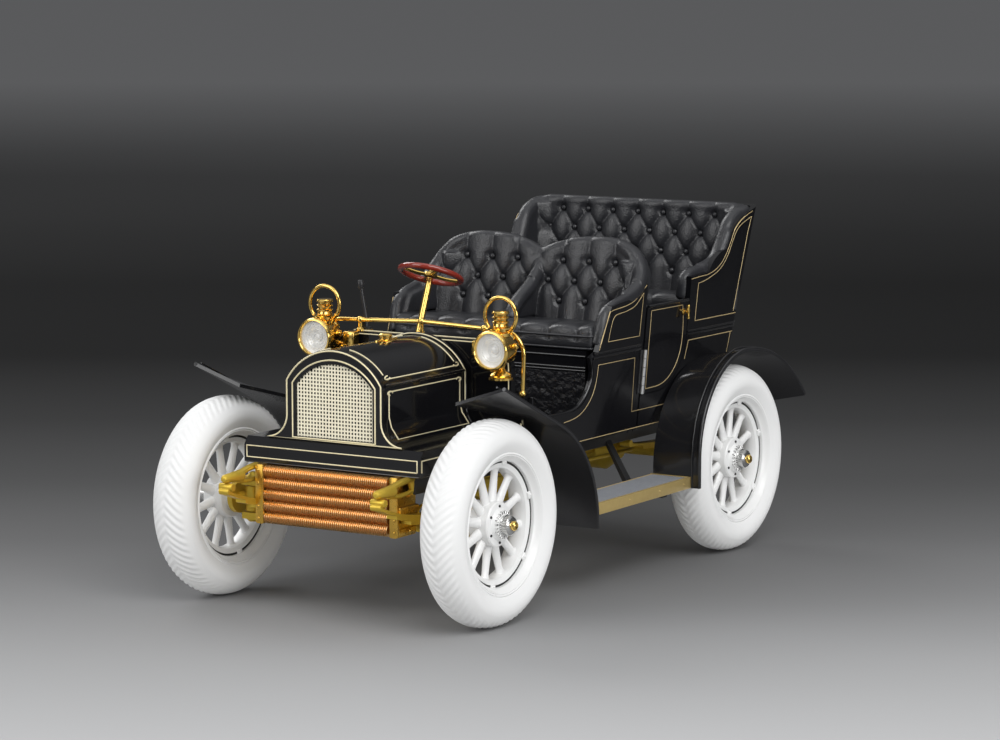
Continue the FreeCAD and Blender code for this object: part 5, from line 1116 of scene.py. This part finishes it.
back_lean = math.radians(12)
back_foot = (AXLE - 85.3, 0, 61.0)
foot_z = back_foot[2]
half_outline = [(31.0, 61.0), (31.8, 70.0), (33.0, 76.5), (32.6, 79.6), (31.2, 82.6), (28.4, 84.9),
                (24.6, 86.2), (21.0, 86.6), (13.5, 86.2), (7.5, 85.4), (3.5, 84.2), (0, 82.6)]
outline = [(y, foot_z + (z - foot_z) / math.cos(back_lean)) for y, z in half_outline]
outline += [(-y, z) for y, z in outline[::-1][1:]]
shell = panel([outline], 0, 4.4, 0.4)
shell.data.transform(Matrix.Translation(Vector(back_foot) * MM) @ Matrix.Rotation(-back_lean, 4, "Y") @
                     Matrix.Translation(Vector((0, 0, -foot_z)) * MM))
rolls = []
for way in (1, -1):
    roll = [(-91.6, 0.5, 82.6), (-92.3, 4.5, 84.4), (-92.7, 9.0, 85.6), (-92.9, 14.0, 86.1),
            (-93.0, 20.5, 86.3), (-92.6, 25.0, 85.6), (-91.8, 28.8, 84.0), (-90.6, 31.2, 81.4),
            (-89.2, 32.5, 78.8), (-87.2, 33.2, 76.6), (-84.2, 33.2, 74.7), (-80.0, 32.9, 73.2),
            (-75.5, 32.7, 72.3), (-71.9, 32.5, 71.6), (-69.9, 32.3, 70.0), (-68.6, 32.0, 67.4),
            (-67.4, 31.6, 64.2)]
    rolls.append(tube([eased([(AXLE + x, y * way, z) for x, y, z in roll], 2.0, steps=3)], 1.5, sides=4))
    fat = [(AXLE + x + 0.3, (y - 0.6) * way, z - 0.5) for x, y, z in roll[2:12]]
    rolls.append(tube([eased(fat, 2.0, steps=3)], 2.1, sides=4))
    front_roll = [(-72.4, 32.3, 71.0), (-69.4, 32.3, 70.0), (-67.9, 32.1, 67.6), (-66.9, 31.7, 64.4),
                  (-66.4, 31.4, 61.8)]
    rolls.append(tube([eased([(AXLE + x, y * way, z) for x, y, z in front_roll], 1.6, steps=3)], 1.8,
                      sides=4))
    rolls.append(corner_pad((AXLE - 85.9, 29.8 * way, 62.0), (AXLE - 89.6, 28.2 * way, 81.6), 4.6))
    arm = [(-87.5, 66.3), (-87.5, 75.8), (-84.2, 74.3), (-80.0, 72.8), (-72.0, 71.4), (-70.2, 69.8),
           (-68.2, 66.3)]
    arm = upright([(AXLE + x, z) for x, z in arm], *((29.5, 32.6) if way > 0 else (-32.6, -29.5)))
    for vertex in arm.data.vertices:
        vertex.co.y += way * LEAN * (vertex.co.z - 71 * MM)
    rolls.append(arm)
ridge = [(-92.6, 82.6), (-90.6, 80.0), (-87.2, 76.4), (-83.0, 73.4), (-78.6, 71.4), (-75.6, 69.0),
         (-74.2, 65.8), (-92.0, 65.8)]
ridge = upright([(AXLE + x, z) for x, z in ridge], -1.2, 1.2)
crest = [(-92.6, 82.6), (-91.4, 80.8), (-89.4, 78.2), (-86.4, 75.2), (-82.6, 72.9), (-78.8, 71.0),
         (-75.9, 68.8), (-74.4, 66.0)]
rolls.append(tube([eased([(AXLE + x, 0, z) for x, z in crest], 2.5, steps=4)], 1.95, sides=4))
backs = skinned([shell, ridge, *rolls])
centres = [(y, lambda aside: abs(aside) > 12.5) for y in (15.3, -15.3)]
spots, facing = buttoned(backs, back_foot, back_lean, centres, [81.2, 75.8, 70.5], 8.1, 12.2)
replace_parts(padded_piece(backs, "front_backs_leather"), "front_backs")
padded_piece(button_heads([s - facing * 0.35 for s in spots], facing), "front_back_buttons", 40)

# Rear cushion: the same squab for the back seat, a little thicker, with pleats over its front edge and
# piping along it.
front, top = -120.0, 69.2
cushion = skinned([block((AXLE - 138.2, -seat_half, 62.2), (AXLE + front, seat_half, top), 1.5, 3)])
pleated(cushion, front, -130.0, pleat_pitch, top)
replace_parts(padded_piece(cushion, "rear_cushion_leather"), "rear_cushion")
piped(front + 0.05, -137, (66.2, 62.6), "rear_cushion_piping")

# Rear seat back: four rows of buttons under a thick top roll, which runs down both sides on the swept edge
# of the tub.
rear_lean = math.radians(8.5)
rear_foot = (AXLE - 139.1, 0, 62.0)
# the slab's foot and top: height, front, back, half width
wedge = ((62.2, -139.1, -140.6, 31.6), (91.6, -143.4, -147.1, 33.6))
clear()
bpy.ops.mesh.primitive_cube_add(size=2 * MM)
slab = bpy.context.object
for vertex in slab.data.vertices:
    z, front, back, half = wedge[0] if vertex.co.z < 0 else wedge[1]
    x = front if vertex.co.x > 0 else back
    y = half if vertex.co.y > 0 else -half
    vertex.co = Vector((AXLE + x, y, z)) * MM
top_roll = tube([[(AXLE - 145.1, y, 92.2) for y in (-30.5, 30.5)]], 1.85, sides=5)
bulk = [slab, top_roll]
rim = [(-145.1, 30.2, 92.2), (-144.6, 33.0, 92.1), (-142.2, 34.3, 91.8), (-138.8, 34.5, 90.8),
       (-136.0, 34.4, 89.3), (-134.6, 34.3, 87.2), (-133.2, 34.1, 84.6), (-131.8, 33.9, 82.2),
       (-130.4, 33.7, 80.2), (-128.2, 33.6, 78.8), (-124.6, 33.5, 77.9), (-121.0, 33.4, 77.4),
       (-116.8, 33.3, 77.1), (-113.8, 33.2, 76.6), (-112.9, 32.9, 74.6), (-112.9, 32.4, 70.6)]
for way in (1, -1):
    thick = [(AXLE + x - 0.4, (y - 1.5) * way, z - 0.7) for x, y, z in rim]
    bulk.append(tube([eased(thick[:12], 2.0, steps=3)], 2.25, sides=4))
    bulk.append(tube([eased(thick[9:], 2.0, steps=3)], 1.9, sides=4))
    bulk.append(corner_pad((AXLE - 139.6, 30.4 * way, 64.0), (AXLE - 143.8, 31.2 * way, 92.0), 5.4))
    corner = [(AXLE - 141.5, 33.8 * way, 91.0), (AXLE - 145.4, 33.9 * way, 91.8),
              (AXLE - 145.9, 29.5 * way, 92.0)]
    bulk.append(tube([eased(corner, 1.6, steps=3)], 1.7, sides=4))
    bulk.append(tube([[(AXLE + x + 0.3, (y - 0.5) * way, z - 0.4) for x, y, z in rim[5:10]]], 1.7, sides=4))
    wing = [(-141.6, 69.4), (-143.2, 91.3), (-138.6, 90.2), (-135.7, 88.6), (-133.3, 84.2), (-130.4, 79.8),
            (-127.8, 78.2), (-121.0, 76.9), (-114.0, 76.6), (-113.2, 75.0), (-113.2, 69.4)]
    wing = upright([(AXLE + x, z) for x, z in wing], *((30.0, 33.0) if way > 0 else (-33.0, -30.0)))
    for vertex in wing.data.vertices:
        vertex.co.y += way * LEAN * (vertex.co.z - 78 * MM)
    bulk.append(wing)
rear_back = skinned(bulk, 0.36)
centres = [(0.0, lambda aside: abs(aside) > 28.9)]
spots, facing = buttoned(rear_back, rear_foot, rear_lean, centres, [90.4, 85.05, 79.7, 74.3], 8.2, 28.8)
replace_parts(padded_piece(rear_back, "rear_back_leather"), "rear_backrest")
padded_piece(button_heads([s - facing * 0.35 for s in spots], facing), "rear_back_buttons", 40)

# Mudguards: thin pressed arches in satin black with a rolled outer edge and a fold inside it. The front ones
# rise to a tip ahead of the wheels; the rear ones sweep out behind the tyres.
guard_black = Paint("guard_black", (0.010, 0.010, 0.011), 0.16, 0.0,
                    {"Coat Weight": 0.4, "Coat Roughness": 0.08})
guard_black.tint(guard_black.noise(0.1, 3), (0.016, 0.016, 0.018))
guard_black.feed("Roughness", 0.16 + 0.14 * guard_black.noise(0.3, 4))
guard_black.relief(guard_black.noise(0.2, 2), 0.02)
repaint(guard_black, "front_mudguards", "rear_mudguards")


def guard_edge(node, outer):
    """The middle of a mudguard's left edge, in order round its wheel, from the solid's own edge points."""
    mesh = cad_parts[node].data
    on_edge = [v.co for v in mesh.vertices if abs(v.co.y / MM - outer) < 0.06]
    return sorted({(round(spot.x / MM, 2), round(spot.z / MM, 2)) for spot in on_edge})


low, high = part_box("tyre_rear_left")
rear_axle = (low.x + high.x) / 2 / MM
outer, roll_inset, fold_inset, group_angle = 46.6, 0.35, 2.3, 0.035
rolls, folds = [], []
for node, middle_x in (("front_mudguards", AXLE - 8), ("rear_mudguards", rear_axle - 12)):
    middle = Vector((middle_x, 12))
    spots = [Vector(spot) - middle for spot in guard_edge(node, outer)]
    turned_spots = sorted((math.atan2(spot.y, spot.x), spot.length) for spot in spots)
    line, group = [], []
    for angle, reach in turned_spots:
        if group and angle - group[0][0] > group_angle:
            line.append((sum(a for a, _ in group) / len(group), max(r for _, r in group)))
            group = []
        group.append((angle, reach))
    line.append((sum(a for a, _ in group) / len(group), max(r for _, r in group)))
    for way in (1, -1):
        for found, proud, inset in ((rolls, -roll_inset, roll_inset), (folds, 0.02, fold_inset)):
            found.append([(middle.x + (r + proud) * math.cos(a), way * (outer - inset),
                           middle.y + (r + proud) * math.sin(a)) for a, r in line])
finish(tube(rolls, 0.5, sides=3), "mudguard_rolls", guard_black, "chassis", 60)
finish(tube(folds, 0.24, sides=2), "mudguard_folds", guard_black, "chassis", 60)

# Running boards: grey rubber tops with fine ribs, edged in tan-gold metal with a cream line inside. They
# stand on black step brackets from the frame.
board_grey = Paint("board_grey", (0.29, 0.30, 0.32), 0.45)
board_grey.tint(board_grey.noise(0.4, 4), (0.23, 0.24, 0.26))
board_grey.feed("Roughness", 0.36 + 0.2 * board_grey.noise(1.0, 4))
edge_gold = Paint("edge_gold", (0.70, 0.53, 0.22), 0.32, 0.6)
edge_gold.tint(edge_gold.noise(0.6, 3), (0.60, 0.44, 0.17))
edge_gold.feed("Roughness", 0.28 + 0.16 * edge_gold.noise(1.4, 3))
repaint(frame_black, "step_brackets")
board_low, board_high = (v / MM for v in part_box("running_boards"))
rim_in, inner, outer = 43.5, 31.8, 44.1
front, rear, deck = board_high.x, board_low.x, board_high.z
tops = [block((rear + 0.1, inner + 0.1, deck - 1.9), (front - 0.1, outer - 0.1, deck - 0.3), 0.2)]
rib_pitch = 0.85
for number in range(12):
    y = inner + 1.2 + number * rib_pitch
    tops.append(block((rear + 0.8, y - 0.17, deck - 0.5), (front - 0.8, y + 0.17, deck - 0.12), 0.07, 1))
edges = [block((rear, rim_in, board_low.z), (front, outer, deck), 0.18)]
for x in (rear, front - 0.5):
    edges.append(block((x, inner, board_low.z + 1.0), (x + 0.5, outer, deck), 0.12))
for x in (rear + 4, rear + 17, rear + 33, front - 4):
    edges.append(dome((x, outer - 0.05, deck - 1.5), 0.35, 0.5, "Y", 10))
for pieces in (tops, edges):
    pieces += [copied(piece, MIRROR) for piece in pieces[:]]
lines = [[(rear + 0.6, y, deck - 0.26), (front - 0.6, y, deck - 0.26)] for y in (32.3, 43.1, -32.3, -43.1)]
top = finish(joined(tops), "running_board_tops", board_grey, "chassis")
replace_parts(top, "running_boards")
finish(joined(edges), "running_board_edges", edge_gold, "chassis")
lining("running_board_lines", lines, radius=0.18)

# Underneath: brake rods, the exhaust pipe with its muffler, and the clamps round the leaf springs, all in
# the same cast gold as the axles.
rods = [tube([eased([(AXLE - 20, y, 30.0), (AXLE - 60, y, 27.6), (AXLE - 114, y, 26.8)], 8)], 0.55)
        for y in (15.0, -15.0)]
rods.append(tube([eased([(AXLE - 34, -9.0, 29.0), (AXLE - 44, -9.0, 24.6), (AXLE - 88, -11.0, 24.2),
                         (AXLE - 96, -11.0, 26.0), (AXLE - 140, -11.0, 27.5)], 5)], 1.1))
muffler = turned([(0, 0), (1.2, 0), (2.7, 0.8), (2.9, 2.0), (2.9, 18.0), (2.7, 19.2), (1.2, 20), (0, 20)],
                 (AXLE - 86, -11.0, 24.4), "X", 28)
clamp_z, clamp_half, clamp_rise = 26.4, 1.9, 2.6
for axle in (AXLE, rear_axle):
    for way in (1, -1):
        for offset in (-2.6, 2.6):
            clamp = [(axle + offset, way * (spring_y + clamp_half * math.cos(math.tau * k / 20)),
                      clamp_z + clamp_rise * math.sin(math.tau * k / 20)) for k in range(20)]
            rods.append(tube([clamp], 0.4, True))
finish(joined([*rods, muffler]), "under_rods", cast_gold, "chassis")
